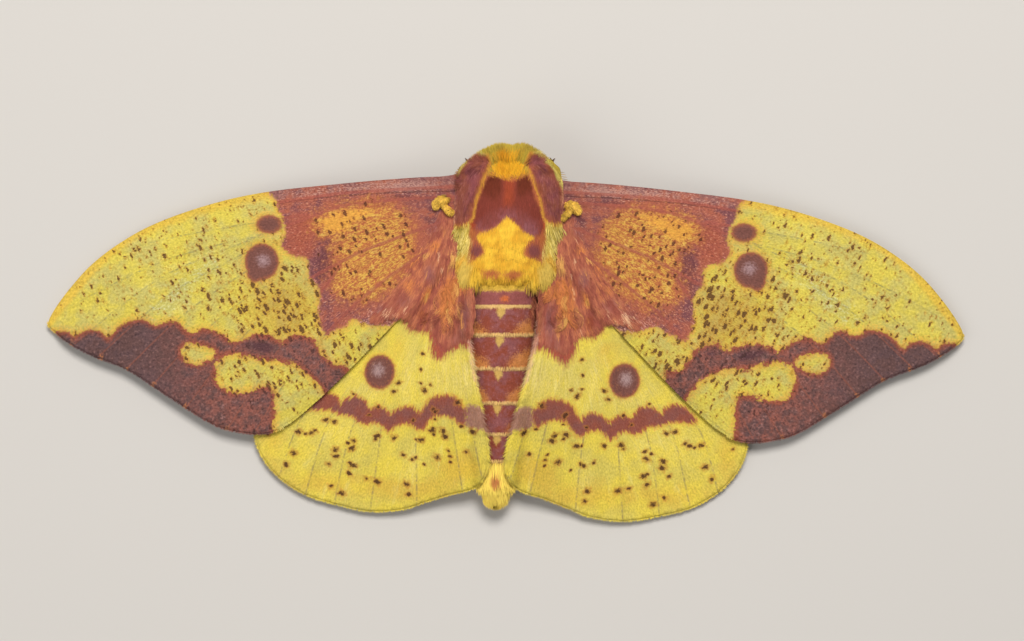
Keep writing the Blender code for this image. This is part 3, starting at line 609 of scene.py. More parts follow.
def tufts(name, centres, normals, width, unwrap, fields_of, finish, rng, kind="short"):
    """One mesh of tufts through their centres, which are given for each share of the tufts' length."""
    shares, girths = TUFT_RINGS[kind]
    count = centres.shape[1]
    ahead = unit(np.gradient(centres, axis=0))
    across = unit(np.cross(normals, ahead))
    half = (width * np.asarray(girths) / 2)[:-1, None, None]
    corners = (-across[:-1] * half, across[:-1] * half, normals * half * 0.8)
    rings = np.stack([centres[:-1] + corner for corner in corners], axis=1)
    size = 3 * (len(shares) - 1) + 1
    places = np.concatenate([rings.reshape(-1, count, 3), centres[-1:]]).transpose(1, 0, 2)
    steps = np.array([(0, 1, 4), (0, 4, 3), (1, 2, 5), (1, 5, 4), (2, 0, 3), (2, 3, 5)])
    faces = [(0, 2, 1)]
    for ring in range(len(shares) - 2):
        faces += list(steps + 3 * ring)
    end, tip = size - 4, size - 1
    faces += [(end, end + 1, tip), (end + 1, end + 2, tip), (end + 2, end, tip)]
    faces = (np.array(faces)[None] + size * np.arange(count)[:, None, None]).reshape(-1, 3)
    lit = np.column_stack([normals[:, :2], np.maximum(normals[:, 2], -0.2) + 0.15])
    lit = unit(lit + rng.normal(0.0, 0.17, lit.shape))
    facing = np.stack([lit + across[:-1] * lean for lean in (-0.7, 0.7, 0.0)], axis=1)
    facing = np.concatenate([facing.reshape(-1, count, 3), lit[None]]).transpose(1, 0, 2)
    seen = centres[0] * 0.4 + centres[-1] * 0.6
    fields = {key: np.repeat(values, size, axis=0) for key, values in fields_of(seen).items()}
    along = np.append(np.repeat(shares[:-1], 3), 1.0)
    fields["tone"] = np.repeat(rng.uniform(0.0, 1.0, count), size)
    # the share along each tuft; the finishes paint shade from it, darkest at the root
    fields["tip"] = np.tile(along, count)
    fields["custom_normal"] = unit(facing.reshape(-1, 3))
    thing = put(name, places.reshape(-1, 3), faces, finish, fields)
    sideways = np.append(np.tile([-0.5, 0.5, 0.0], len(shares) - 1), 0.0) * PATCH
    patch = np.stack([sideways, (along - 0.5) * PATCH], axis=-1)
    spots = np.clip(unwrap, PATCH_MARGIN, 1.0 - PATCH_MARGIN)[:, None, :] + patch[None]
    layer = thing.data.uv_layers.new(name="OFBake")
    layer.uv.foreach_set("vector", spots.reshape(-1, 2)[faces.ravel()].astype(np.float32).ravel())
    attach(thing, "root")
    return thing


def swept(roots, normals, lies, length, rise, sway, rng, kind="short"):
    """Centres of tufts that leave the skin at their roots, rise and then lie back towards it."""
    across = unit(np.cross(normals, lies))
    lies = unit(np.cross(across, normals))
    count = len(roots)
    length = np.broadcast_to(length, count) * rng.uniform(0.75, 1.2, count)
    rise, sway = np.broadcast_to(rise, count), rng.normal(0.0, sway, count)
    rows = []
    for share in TUFT_RINGS[kind][0]:
        up = rise * share * (1.0 - 0.55 * share)
        step = lies * share + normals * up[:, None] + across * (sway * share**2)[:, None]
        rows.append(roots - normals * 0.06 + length[:, None] * step)
    return np.stack(rows)


def scattered(loft, low, high, spacing, rng, turn=(-180.0, 180.0)):
    """(y, angle) of places spread evenly over a loft's skin, from low to high and between two turns."""
    fine = np.linspace(loft.rear + 0.01, loft.front - 0.01, 1500)
    path = np.stack([fine, loft.section(fine)[1] + loft.section(fine)[2]], axis=-1)
    walked = np.concatenate([[0.0], np.cumsum(np.linalg.norm(np.diff(path, axis=0), axis=1))])
    rows = np.interp(np.arange(0.0, walked[-1], spacing), walked, fine)
    rows = rows[(rows >= low) & (rows <= high)]
    found = []
    for y in rows:
        width, _, height = loft.section(np.array([y]))
        girth = math.pi * (width[0] + height[0]) * (turn[1] - turn[0]) / 360.0
        number = max(3, int(girth / spacing))
        share = (np.arange(number) + rng.uniform(0, 1, number)) / number
        angle = np.radians(90.0 + turn[0] + (turn[1] - turn[0]) * share)
        found.append(np.stack([y + rng.uniform(-0.5, 0.5, number) * spacing * 0.8, angle], axis=-1))
    found = np.concatenate(found)
    found[:, 0] = np.clip(found[:, 0], loft.rear + 0.02, loft.front - 0.02)
    return found


def on_loft(loft, out_of, y, angle, heading):
    """Roots, normals and lies on a loft's skin. The heading turns the lie from rearwards to the right."""
    def skin(y, angle):
        return loft.skin(y, angle, out_of(y, angle))

    step, turn = 0.04, 0.02
    roots = skin(y, angle)
    along = skin(y + step, angle) - skin(y - step, angle)
    around = skin(y, angle + turn) - skin(y, angle - turn)
    normals = unit(np.cross(along, around))
    centre = np.stack([spine_x(y), y, loft.section(y)[1]], axis=-1)
    towards = np.sum(normals * (roots - centre), axis=-1, keepdims=True)
    normals = np.where(towards < 0, -normals, normals)
    back = unit(-along)
    right = unit(np.cross(back, normals))
    right = np.where(right[:, :1] * np.sin(angle)[:, None] < 0, -right, right)
    lies = back * np.cos(heading)[:, None] + right * np.sin(heading)[:, None]
    return roots, normals, lies


def body_unwrap(loft, y, angle):
    """Places on an unwrap of a loft's skin: once round it and from its rear to its front."""
    return np.stack([(angle / (2 * np.pi)) % 1.0, (y - loft.rear) / (loft.front - loft.rear)], axis=-1)


rng = np.random.default_rng(11)
THORAX_COAT, ABDOMEN_COAT, HEAD_COAT = (4.9, 24.39), (-20.6, 6.5), (20.5, 24.99)
UPPER, LOWER = (-100.0, 100.0), (100.0, 260.0)  # turns from the top, in degrees
FRINGE_TUFTS, RUFF_TUFTS, FAN_TUFTS = 3200, 5100, 5000

# The thorax's coat: a fine deep pile, swept back over the disc and the plumed shoulders, longer along the
# sides and the rear edge, and short and upright in front, where a ruff of yellow hair stands.


def thorax_tufts(name, y, angle, length, width, rise, heading, sway=0.1, kind="short"):
    """A piece of the thorax's coat."""
    roots, normals, lies = on_loft(THORAX, thorax_out, y, angle, heading)
    centres = swept(roots, normals, lies, length, rise, sway, rng, kind)
    unwrap = body_unwrap(THORAX, y, angle)
    coat = tufts(name, centres, normals, width, unwrap, body_fields, BODY_FINISH, rng, kind)


def trimmed(centres):
    """The tufts drawn back to their roots until their tips lie within the body's outline in front."""
    outline = smooth_line(FRONT_OUTLINE, 0.4, closed=True)
    for _ in range(5):
        tips = centres[-1, :, :2] + rng.normal(0.0, 0.07, (centres.shape[1], 2))
        outside = ~within(tips, outline)
        centres[:, outside] = centres[0, outside] + (centres[:, outside] - centres[0, outside]) * 0.7
    return centres


FRONT_OUTLINE = [
    (-7.4, 18.6), (-7.0, 20.9), (-5.5, 22.5), (-4.1, 23.7), (-2.8, 24.4), (-1.2, 24.95), (0.6, 24.75),
    (2.2, 24.95), (3.8, 24.2), (5.2, 23.1), (6.4, 21.6), (7.2, 19.8), (7.3, 18.0), (9.0, 10.0),
    (6.0, 0.0), (-7.0, 0.0), (-9.5, 10.0),
]  # fmt: skip
y, angle = scattered(THORAX, *THORAX_COAT, 0.12, rng, UPPER).T
roots = THORAX.skin(y, angle, thorax_out(y, angle))[:, :2]
plumed = np.max([depth_in(roots, outline) for outline in SHOULDERS], axis=0)
forwards = depth_in(roots, FRONT_PATCH) + rng.normal(0.0, 0.3, len(y)) > 0.0
forwards |= (plumed < 0.0) & (y > 21.4)
side_of = np.cos(angle)
rear = eases(-y, -8.6, -6.4)
side = eases(np.abs(side_of), 0.55, 0.85) * eases(-y, -15.5, -13.5)
heading = side_of * 0.28 + rng.normal(0.0, 0.12, len(y))
heading = np.where(forwards, np.pi - side_of * 0.9 + rng.normal(0, 0.5, len(y)), heading)
length = 0.95 + 0.9 * side + 0.4 * rear * (1 - 0.4 * side) + 0.4 * eases(plumed, 0.5, 1.5)
rise = 0.13 + 0.35 * forwards
for name, chosen in (("thorax_coat", plumed < 0.0), ("shoulder_coat", plumed >= 0.0)):
    at = y[chosen], angle[chosen]
    roots, normals, lies = on_loft(THORAX, thorax_out, *at, heading[chosen])
    centres = trimmed(swept(roots, normals, lies, length[chosen], rise[chosen], 0.08, rng))
    coat = tufts(name, centres, normals, FINE_WIDTH, body_unwrap(THORAX, *at), body_fields, BODY_FINISH, rng)
y, angle = scattered(THORAX, *THORAX_COAT, 0.3, rng, (97.0, 263.0)).T
heading = np.cos(angle) * 0.28 + rng.normal(0.0, 0.14, len(y))
thorax_tufts("thorax_under_coat", y, angle, 1.2, 0.26, 0.16, heading)
number = FRINGE_TUFTS
y, angle = rng.uniform(5.0, 8.0, number), np.radians(90.0 + rng.uniform(-58.0, 58.0, number))
scallop = np.sin(np.degrees(angle) * 0.16) ** 2
length = 0.8 + 1.0 * scallop + 0.5 * eases(np.abs(np.cos(angle)), 0.62, 0.85)
heading = np.cos(angle) * 0.25 + rng.normal(0.0, 0.12, number)
thorax_tufts("thorax_fringe", y, angle, length, 0.09, 0.06, heading, 0.1, "long")

# The ruff: yellow hair that stands forwards and outwards from the front of the thorax, round the shoulders.
# Each tuft ends near the rounded front outline.
number = RUFF_TUFTS
arc = smooth_line(FRONT_OUTLINE[:13], 0.05)  # the outline's stretch in front of the shoulders
tips = arc[rng.integers(8, len(arc) - 8, number)] + rng.normal(0.0, 0.07, (number, 2))
inset = rng.uniform(0.0, 1.0, number)
middle = np.array([-0.1, 18.0])
tips = middle + (tips - middle) * (1.0 - 0.2 * inset**1.5)[:, None]
starts = middle + (tips - middle) * rng.uniform(0.74, 0.84, number)[:, None]
starts += rng.normal(0.0, 0.22, (number, 2))
top = np.maximum(THORAX.top_at(*starts.T, -0.3), HEAD.top_at(*starts.T, -0.4))
top = np.maximum(top, 7.0) - rng.uniform(0.0, 1.3, number) * (1.0 - inset)
ends = np.column_stack([tips, top * 0.6 + 2.6 + 1.2 * inset])
roots = np.column_stack([starts, top - 0.15])
outward = np.column_stack([(tips - middle), np.full(number, 3.5)])
centres = bowed(roots, roots * 0.4 + ends * 0.6 + np.array([0.0, 0.0, 0.35]), ends)
spots = np.stack([(tips[:, 0] + 8.0) / 16.0, (tips[:, 1] - 16.0) / 10.0], axis=-1)
ruff = tufts("ruff", centres, unit(outward), FINE_WIDTH, spots, body_fields, BODY_FINISH, rng, "long")

# The abdomen's coat: short scales laid flat, ring over ring, and a fan of long yellow ones at the tail.


def even_out(depth):
    def out_of(y, angle):
        return np.full(np.shape(y), -depth)
    return out_of


FAN_REAR, FAN_DEPTH = -21.08, 4.2
abdomen_out, head_out = even_out(COAT_DEPTH["abdomen"]), even_out(COAT_DEPTH["head"])
fan_y = FAN_REAR + FAN_DEPTH * rng.uniform(0.0, 1.0, FAN_TUFTS) ** 1.9
fan_angle = rng.uniform(0, 2 * np.pi, FAN_TUFTS)
fan_heading = np.cos(fan_angle) * np.where(fan_y > -19.4, 0.95, -0.2)
fan_length = np.clip(1.4 + 0.2 * (-17.0 - fan_y), 1.4, 2.1)
above = scattered(ABDOMEN, *ABDOMEN_COAT, 0.142, rng, UPPER).T
below = scattered(ABDOMEN, *ABDOMEN_COAT, 0.3, rng, LOWER).T
for name, (y, angle), length, width, rise, heading, kind in (
    ("abdomen_coat", above, 0.55, 0.1, 0.16, 0.0, "short"),
    ("abdomen_under_coat", below, 0.9, 0.28, 0.12, 0.0, "short"),
    ("tail_fan", (fan_y, fan_angle), fan_length, 0.1, 0.08, fan_heading, "long"),
):
    heading = heading + np.cos(angle) * 0.12 + rng.normal(0.0, 0.09, len(y))
    roots, normals, lies = on_loft(ABDOMEN, abdomen_out, y, angle, heading)
    centres = swept(roots, normals, lies, length, rise, 0.06, rng, kind)
    if name == "tail_fan":
        ahead = lies * 0.5 + [0.0, -0.9, 0.0] + normals * 0.14 + rng.normal(0.0, 0.05, lies.shape)
        ahead = unit(ahead + np.cos(angle)[:, None] * eases(-y, 19.6, 20.8)[:, None] * [0.42, 0.0, 0.0])
        reach = length * rng.uniform(0.75, 1.15, len(y))
        centres = roots + ahead * reach[:, None] * np.array(TUFT_RINGS[kind][0])[:, None, None]
        raised = np.where(np.sin(angle) < -0.35, -0.8, 0.7 + np.maximum(normals[:, 2], 0.0))
        normals = unit(normals * [1.0, 0.3, 0.0] + raised[:, None] * [0.0, 0.0, 1.0])
    unwrap = body_unwrap(ABDOMEN, y, angle)
    coat = tufts(name, centres, normals, width, unwrap, body_fields, BODY_FINISH, rng, kind)
    "yellow" if name == "tail_fan" else "wine"

# The head's coat: short hair that lies forwards and down over the face.
y, angle = scattered(HEAD, *HEAD_COAT, 0.145, rng).T
heading = np.pi - np.cos(angle) * 0.6 + rng.normal(0.0, 0.4, len(y))
roots, normals, lies = on_loft(HEAD, head_out, y, angle, heading)
centres = trimmed(swept(roots, normals, lies, 0.95, 0.55, 0.1, rng))
unwrap = body_unwrap(HEAD, y, angle)
head_coat = tufts("head_coat", centres, normals, FINE_WIDTH, unwrap, body_fields, BODY_FINISH, rng)


# The wings. A wing is a clear membrane on hollow veins, hidden above and below by rows of coloured scales.
# The forewings lie over the hindwings, and the markings are those of the right wings, mirrored for the left.

SHEET_LOW, SHEET_RISE, SHEET_REACH, SHEET_POWER = 1.0, 8.6, 16.0, 1.7
WING_STEP = 1.2
REAR_FALL = 0.75
COSTA_DIP, COSTA_BAND = 0.9, 5.0
DRAPE_EASE, DRAPE_GAP = 0.22, 0.42  # how softly and how far off the hindwing lies on the abdomen
WING_SKIN = 0.22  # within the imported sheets' thickness of 0.5
SKIN_LIFT = {"forewing": 0.02, "hindwing": 0.26}
VEIN_RISE, VEIN_HALF = 0.13, 0.32
INNER_EDGE = [(3.6, 12.2), (8.2, 8.8), (11.2, 3.8), (15.2, -0.5), (21.0, -6.6), (24.6, -10.1), (28.2, -13.1)]
COSTA = [(0.0, 19.6), (16.0, 19.35), (30.5, 17.75), (42.5, 14.7), (51.6, 10.1), (60.3, 0.0)]

FOREWING_OUTLINE = [
    (3.6, 19.5), (9.0, 19.75), (16.0, 19.35), (23.0, 18.65), (30.5, 17.75), (36.5, 16.55), (42.5, 14.7),
    (47.5, 12.6), (51.6, 10.1), (54.9, 7.4), (57.6, 4.3), (59.5, 1.6), (60.3, -0.2), (59.6, -1.2),
    (57.0, -3.0), (54.2, -4.4), (51.6, -5.3), (48.9, -6.5), (43.7, -9.8), (38.4, -13.0), (35.2, -14.0),
    (31.4, -14.25), (28.2, -13.1), (24.6, -10.1), (21.0, -6.6), (15.2, -0.5), (11.2, 3.8), (8.2, 8.8),
    (3.6, 12.2),
]  # fmt: skip
FOREWING_VEINS = {
    "subcosta": [(5.0, 18.5), (20.0, 17.7), (32.0, 15.9), (40.5, 15.2)],
    "radius_first": [(26.0, 14.7), (40.0, 12.2), (52.2, 9.4)],
    "radius": [(5.0, 17.2), (20.0, 16.1), (31.0, 12.3), (45.0, 8.2), (59.3, 1.0)],
    "radius_last": [(33.2, 11.3), (45.5, 5.9), (56.6, -2.9)],
    "median_first": [(33.4, 9.9), (44.0, 3.9), (53.4, -4.5)],
    "median_second": [(33.2, 7.6), (42.0, 1.4), (49.6, -6.0)],
    "median_third": [(31.8, 5.2), (40.0, -1.4), (46.1, -8.1)],
    "cubitus_first": [(28.4, 4.9), (35.6, -3.1), (41.6, -10.9)],
    "cubitus_second": [(21.6, 7.9), (29.8, -3.6), (36.0, -13.5)],
    "cubitus": [(5.0, 15.0), (18.0, 10.2), (28.4, 4.9), (31.8, 5.2)],
    "cell_end": [(31.0, 12.3), (33.2, 11.3), (33.4, 9.9), (33.2, 7.6), (31.8, 5.2)],
    "anal": [(5.0, 13.6), (17.6, 4.6), (27.2, -5.6), (32.4, -13.9)],
}
HINDWING_OUTLINE = [
    (3.4, 11.0), (9.5, 9.6), (16.5, 4.6), (23.0, -2.0), (28.6, -8.8), (31.3, -13.6), (31.2, -16.4),
    (29.6, -19.2), (27.2, -21.4), (24.0, -23.1), (20.0, -24.1), (15.4, -24.75), (11.0, -24.2),
    (8.2, -23.1), (5.0, -21.8), (1.6, -20.6), (0.35, -19.2), (-0.15, -17.2), (0.1, -14.7), (0.8, -11.8),
    (1.9, -8.0), (3.1, -3.4), (3.9, 0.0), (4.7, 2.8), (5.6, 4.8), (4.6, 6.4),
]  # fmt: skip
HINDWING_VEINS = {
    "costa": [(5.0, 9.3), (14.0, 4.2), (23.0, -5.0), (31.0, -14.6)],
    "radius": [(5.0, 8.4), (13.0, 0.6), (19.5, -6.2), (25.2, -12.6), (27.8, -20.9)],
    "median_first": [(17.8, -5.9), (21.7, -13.2), (24.1, -23.0)],
    "median_second": [(16.5, -7.7), (18.8, -15.2), (20.1, -24.1)],
    "median_third": [(14.3, -8.3), (14.6, -16.0), (15.2, -24.7)],
    "cubitus_first": [(11.9, -5.6), (9.9, -14.0), (8.9, -23.4)],
    "cubitus_second": [(9.0, 0.0), (5.6, -10.0), (2.9, -21.0)],
    "cubitus": [(5.0, 7.4), (9.0, 0.0), (11.9, -5.6), (14.3, -8.3)],
    "cell_end": [(17.8, -5.9), (16.5, -7.7), (14.3, -8.3)],
    "anal": [(5.0, 6.4), (4.4, -3.6), (1.4, -15.6), (0.35, -18.8)],
}
FOREWING_HINGES = {"right": (8.2, 16.4), "left": (-8.5, 17.1)}
HINDWING_HINGES = {"right": (6.0, 8.0), "left": (-6.6, 8.5)}
FOREWING_TURN, HINDWING_TURN = 1.0, 4.8
HINDWING_FAN = 0.973
FORE_WING = (FOREWING_HINGES, FOREWING_TURN, 1.0)
HIND_WING = (HINDWING_HINGES, HINDWING_TURN, HINDWING_FAN)
SEED_SHIFT = {"right": 0.0, "left": 17.0}

# The forewing's markings.
BASE_AREA = [
    (1.0, 22.0), (16.0, 21.5), (31.4, 19.0), (30.4, 16.7), (30.1, 15.3), (29.2, 13.8), (29.0, 12.0),
    (29.5, 10.5), (28.0, 9.2), (26.4, 8.9), (25.6, 7.8), (25.7, 6.4), (24.5, 5.1), (24.3, 3.0),
    (24.4, 1.4), (23.4, -1.2), (22.4, -0.6), (20.8, -0.1), (19.7, 0.9), (17.6, 0.3), (14.6, 0.4),
    (10.0, 2.0), (2.0, 6.0),
]  # fmt: skip
CELL_PATCH = [
    (13.2, 14.0), (14.5, 15.0), (18.0, 16.0), (22.0, 15.2), (24.2, 14.4), (24.7, 13.4), (24.0, 12.2),
    (22.2, 11.6), (21.8, 10.0), (21.9, 7.0), (22.0, 4.9), (20.4, 4.2), (18.4, 3.7), (16.8, 4.5), (14.5, 6.0),
    (13.4, 8.0), (12.4, 9.6), (12.3, 11.6),
]  # fmt: skip
CELL_LENS = [(17.0, 15.4), (20.0, 15.6), (23.4, 14.8), (24.6, 13.4), (23.4, 12.2), (21.8, 12.1),
             (19.6, 13.8)]  # fmt: skip
OUTER_AREA = [
    (20.8, -5.3), (22.6, -4.8), (23.7, -3.6), (25.0, -1.9), (27.2, -1.2), (29.0, -2.1), (31.0, -1.4),
    (33.0, -1.2), (35.6, -2.2), (37.5, -1.1), (39.5, -0.6), (41.6, -1.2), (43.0, 0.2), (44.4, 0.3),
    (46.0, -0.3), (47.6, 0.5), (49.8, 0.1), (51.2, -0.9), (52.2, -2.1), (53.0, -1.3), (54.6, -0.95),
    (56.0, -1.5), (56.7, -2.0), (57.6, -1.3), (59.4, -1.3), (61.5, -1.5), (60.5, -4.0), (55.0, -7.5),
    (48.0, -11.0), (40.0, -16.0), (30.5, -17.0), (30.0, -13.6), (30.0, -10.8), (30.1, -8.6), (31.5, -8.2),
    (33.6, -8.6), (35.5, -9.0), (37.0, -8.3), (37.8, -7.3), (37.8, -5.8), (37.2, -4.4), (35.6, -3.9),
    (33.0, -4.4), (30.0, -4.8), (27.4, -5.2), (25.0, -6.9), (22.5, -9.5), (20.4, -7.4),
]  # fmt: skip
WINDOW = [(37.8, -3.9), (38.7, -3.2), (40.8, -2.6), (42.1, -2.9), (42.5, -3.9), (41.5, -5.1), (39.8, -5.2)]
FOREWING_SPOTS = [((31.1, 13.3), (1.75, 1.25)), ((32.0, 8.35), (2.3, 2.4)), ((32.8, 6.9), (1.2, 1.3))]
FOREWING_CORE = ((31.8, 8.5), (1.3, 1.2))
WORN_STREAK = [(38.8, 8.0), (42.0, 5.0), (45.0, 2.0)]
EDGE_DOTS = [(36.2, -13.6), (41.8, -10.7), (46.0, -8.0), (49.5, -6.1), (53.0, -4.5), (57.0, -2.6)]

# The hindwing's markings.
BASE_PATCH = [
    (1.5, -2.3), (3.4, -2.3), (4.6, -2.2), (5.8, -3.0), (7.2, -4.2), (8.5, -3.5), (8.9, -2.0), (9.4, -0.7),
    (10.6, -0.7), (12.0, -0.4), (12.9, 1.5), (13.4, 6.0), (6.0, 13.0), (1.5, 8.0),
]  # fmt: skip
BAND = [
    (3.3, -10.4), (4.2, -9.8), (4.9, -9.0), (5.9, -8.8), (7.5, -9.2), (8.5, -10.0), (9.4, -11.8),
    (10.1, -11.1), (11.0, -10.7), (12.4, -11.2), (13.4, -12.1), (14.3, -11.2), (15.3, -11.0),
    (16.4, -11.5), (17.2, -10.3), (18.3, -9.9), (19.5, -10.3), (20.4, -11.0), (21.1, -9.9), (22.2, -9.6),
    (23.4, -10.2), (24.7, -11.6), (23.0, -11.5), (21.5, -11.5), (20.0, -12.0), (18.2, -12.2),
    (17.0, -13.1), (15.4, -12.7), (14.3, -13.1), (13.5, -13.8), (12.4, -12.8), (10.8, -12.6),
    (9.2, -13.3), (8.0, -11.7), (6.4, -11.1), (4.8, -11.4), (3.6, -12.0),
]  # fmt: skip
GREY_BLOCK = [(-2.0, -9.4), (1.0, -9.4), (3.2, -9.4), (3.4, -11.0), (3.2, -12.6), (0.5, -12.8),
              (-2.0, -12.7)]  # fmt: skip
HINDWING_SPOTS = [((15.3, -6.2), (2.05, 2.3))]
HINDWING_CORE = ((15.5, -6.0), (1.2, 1.3))
SPECKS = [
    (2.1, -13.0), (3.7, -12.5), (7.4, -10.9), (7.3, -11.9), (7.6, -13.3), (7.3, -13.9), (5.8, -14.1),
    (6.1, -13.4), (2.8, -15.8), (5.2, -15.9), (4.9, -16.6), (4.8, -17.4), (6.6, -16.9), (9.0, -14.8),
    (9.7, -14.8), (8.3, -18.0), (10.0, -17.5), (9.6, -17.2), (11.3, -17.0), (12.7, -14.8), (14.9, -14.7),
    (15.2, -15.2), (18.1, -15.6), (18.9, -15.9), (18.3, -16.6), (20.5, -16.9), (20.4, -17.8),
    (17.9, -18.9), (18.4, -18.6), (18.4, -20.0), (21.3, -18.9), (20.9, -13.2), (22.1, -13.0),
    (23.4, -14.5), (24.7, -15.1), (25.6, -14.8), (24.0, -14.9), (26.1, -17.7), (27.0, -19.3),
    (29.8, -15.3), (10.5, -20.8), (10.1, -22.2), (14.5, -20.8), (16.0, -20.5), (20.7, -21.8),
    (19.2, -22.7), (9.7, -3.4), (9.8, -5.5), (8.3, -7.4), (9.7, -7.3), (9.1, -8.2), (12.6, -7.5),
    (13.2, -8.7), (18.6, -9.3), (15.2, -10.8), (16.3, -12.0), (10.3, -12.3), (4.4, -9.4), (7.6, -10.6),
]  # fmt: skip


def sheet_height(x, y):
    """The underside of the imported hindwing's sheet: it drapes over the abdomen's flank."""
    reach = np.abs(x - spine_x(y))
    rise = SHEET_RISE * (1.0 - REAR_FALL * (np.clip(-4.0 - y, 0.0, 20.0) / 20.0) ** 1.2)
    height = SHEET_LOW + rise / (1 + (reach / SHEET_REACH) ** SHEET_POWER) - WING_STEP
    over = ABDOMEN.top_at(x, y, DRAPE_GAP)
    spread = np.clip((over - height) / DRAPE_EASE, -30.0, 30.0)
    return height + DRAPE_EASE * np.log1p(np.exp(spread))


def forewing_height(x, y):
    """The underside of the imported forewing, clear of the hindwing, with its leading edge curled down."""
    front = eased(COSTA, np.abs(x))[..., 0]
    near = np.clip(1.0 - np.clip(front - y, 0.0, None) / COSTA_BAND, 0.0, 1.0)
    curl = COSTA_DIP * near**2 * np.clip((np.abs(x) - 8.0) / 8.0, 0.0, 1.0)
    return sheet_height(x, y) + WING_STEP - curl


def past_edge(x, y):
    """How far places of the right wings lie ahead of the forewing's inner rear edge, about."""
    x_of, y_of = np.array(INNER_EDGE).T
    return (y - np.interp(x, x_of, y_of)) * 0.7


def to_side(flat, side, hinges, turn, fan=1.0):
    """Places of a right wing carried to this side's wing."""
    if side == "right":
        return flat.copy()
    arm = flat - np.array(hinges["right"])
    angle = np.arctan2(-arm[:, 0], -arm[:, 1]) * fan - math.radians(turn)
    length = np.linalg.norm(arm, axis=1, keepdims=True)
    return np.array(hinges["left"]) + length * np.stack([np.sin(angle), -np.cos(angle)], axis=-1)


def wing_plan(outline_points, veins, extra, fill_step=0.5):
    """Places, triangles, veins and outline of a wing in plan, with rows of points along each vein."""
    outline = smooth_line(outline_points, 0.3, closed=True)
    lines = [smooth_line(points, 0.45) for points in veins.values()]
    rows = []
    for line in lines:
        ahead = np.gradient(line, axis=0)
        across = np.stack([-ahead[:, 1], ahead[:, 0]], axis=-1)
        across *= VEIN_HALF / np.linalg.norm(across, axis=1, keepdims=True)
        rows += [line, line + across, line - across]
    low, high = outline.min(axis=0), outline.max(axis=0)
    down = np.arange(low[1], high[1], fill_step * 0.87)
    fill = []
    for y, shift in zip(down, fill_step * 0.5 * (np.arange(len(down)) % 2)):
        run = np.arange(low[0] + shift, high[0], fill_step)
        fill.append(np.stack([run, np.full(len(run), y)], axis=-1))
    fill = np.concatenate(fill)
    clear = np.min([away(fill, line) for line in lines], axis=0) > VEIN_HALF + 0.15
    inner = np.concatenate([*rows, fill[clear], *extra])
    keep = within(inner, outline) & (away(inner, outline, closed=True) > 0.16)
    inner = inner[keep]
    grid = np.round(inner / 0.13).astype(int)
    _, first = np.unique(grid, axis=0, return_index=True)
    inner = inner[np.sort(first)]
    every = [Vector(p) for p in np.concatenate([outline, inner])]
    edges = [(i, (i + 1) % len(outline)) for i in range(len(outline))]
    flat, _, faces, *_ = delaunay_2d_cdt(every, edges, [list(range(len(outline)))], 1, 1e-4)
    flat = np.array([tuple(p) for p in flat])
    faces = np.array([f for f in faces if len(f) == 3])
    middles = flat[faces].mean(axis=1)
    return flat, faces[within(middles, outline)], lines, outline


def polar(flat, centre=(1.0, 17.5)):
    """Places told by their reach from the wing's root and their turn round it, as the scales lie."""
    arm = flat - np.array(centre)
    reach = np.linalg.norm(arm, axis=1)
    return np.stack([reach, np.arctan2(arm[:, 1], arm[:, 0]) * 26.0], axis=-1)


def slanted(flat):
    """Places turned so that the first runs across the wing's specks and the second along them."""
    turn = math.radians(62.0)
    across = flat[:, 0] * math.sin(turn) - flat[:, 1] * math.cos(turn)
    along = flat[:, 0] * math.cos(turn) + flat[:, 1] * math.sin(turn)
    return np.stack([across, along], axis=-1)


def seeded(plan, seed):
    """Places in plan with the wing's own seed as their height, so that no two wings wear alike."""
    return np.column_stack([plan, np.full(len(plan), seed)])


def clouds(points, spots):
    """Soft spots added up: each is (x, y, its half width, its half height, its strength)."""
    total = np.zeros(len(points))
    for x, y, wide, high, strength in spots:
        total += strength * np.exp(-(((points[:, 0] - x) / wide) ** 2) - ((points[:, 1] - y) / high) ** 2)
    return total


FOREWING_DUST = [
    (27.5, 2.0, 3.8, 4.8, 1.5), (31.5, 2.2, 4.2, 3.4, 1.1), (20.5, -3.0, 4.4, 2.8, 0.8),
    (40.5, 8.5, 3.0, 4.5, 0.22), (31.0, -7.0, 5.0, 2.6, 0.6), (36.0, 4.5, 5.0, 6.0, 0.32),
    (46.0, 10.0, 4.0, 3.0, 0.2), (34.0, 15.0, 4.0, 2.2, 0.2), (40.0, -4.0, 2.5, 1.5, 0.35),
]  # fmt: skip
FOREWING_FROST = [(12.0, 18.6, 5.0, 1.2, 1.1), (19.0, 18.2, 5.0, 0.9, 0.9), (26.0, 17.4, 4.0, 0.9, 0.7),
                  (14.0, 2.0, 3.2, 1.6, 1.0), (17.5, 0.9, 2.5, 1.2, 0.6), (12.0, 5.0, 2.0, 2.5, 0.6),
                  (23.0, 3.2, 2.5, 0.9, 0.5), (9.2, 12.6, 1.4, 4.0, 0.45)]  # fmt: skip
FOREWING_RED = [(26.5, 12.4, 2.6, 2.6, 1.0), (27.5, 9.6, 2.5, 1.2, 0.6), (12.5, 7.6, 2.0, 3.0, 0.8),
                (9.5, 8.0, 2.0, 6.0, 0.7), (17.0, 2.9, 4.0, 1.1, 0.5), (24.0, -0.3, 1.2, 1.6, 0.5),
                (14.6, 16.6, 3.0, 0.8, 0.5)]  # fmt: skip
FOREWING_DARK = [
    (23.6, 8.4, 1.3, 3.0, 1.0), (22.6, 11.4, 2.2, 0.7, 0.5), (31.2, -3.0, 1.6, 0.8, 1.0),
    (27.0, -2.6, 1.4, 0.9, 0.6), (33.5, -2.6, 1.6, 0.7, 0.7), (9.6, 14.3, 1.4, 1.6, 0.6),
    (21.0, 2.2, 2.0, 1.0, 0.4), (14.0, 17.1, 4.5, 0.35, 0.8), (22.5, 16.4, 4.0, 0.3, 0.5),
]  # fmt: skip


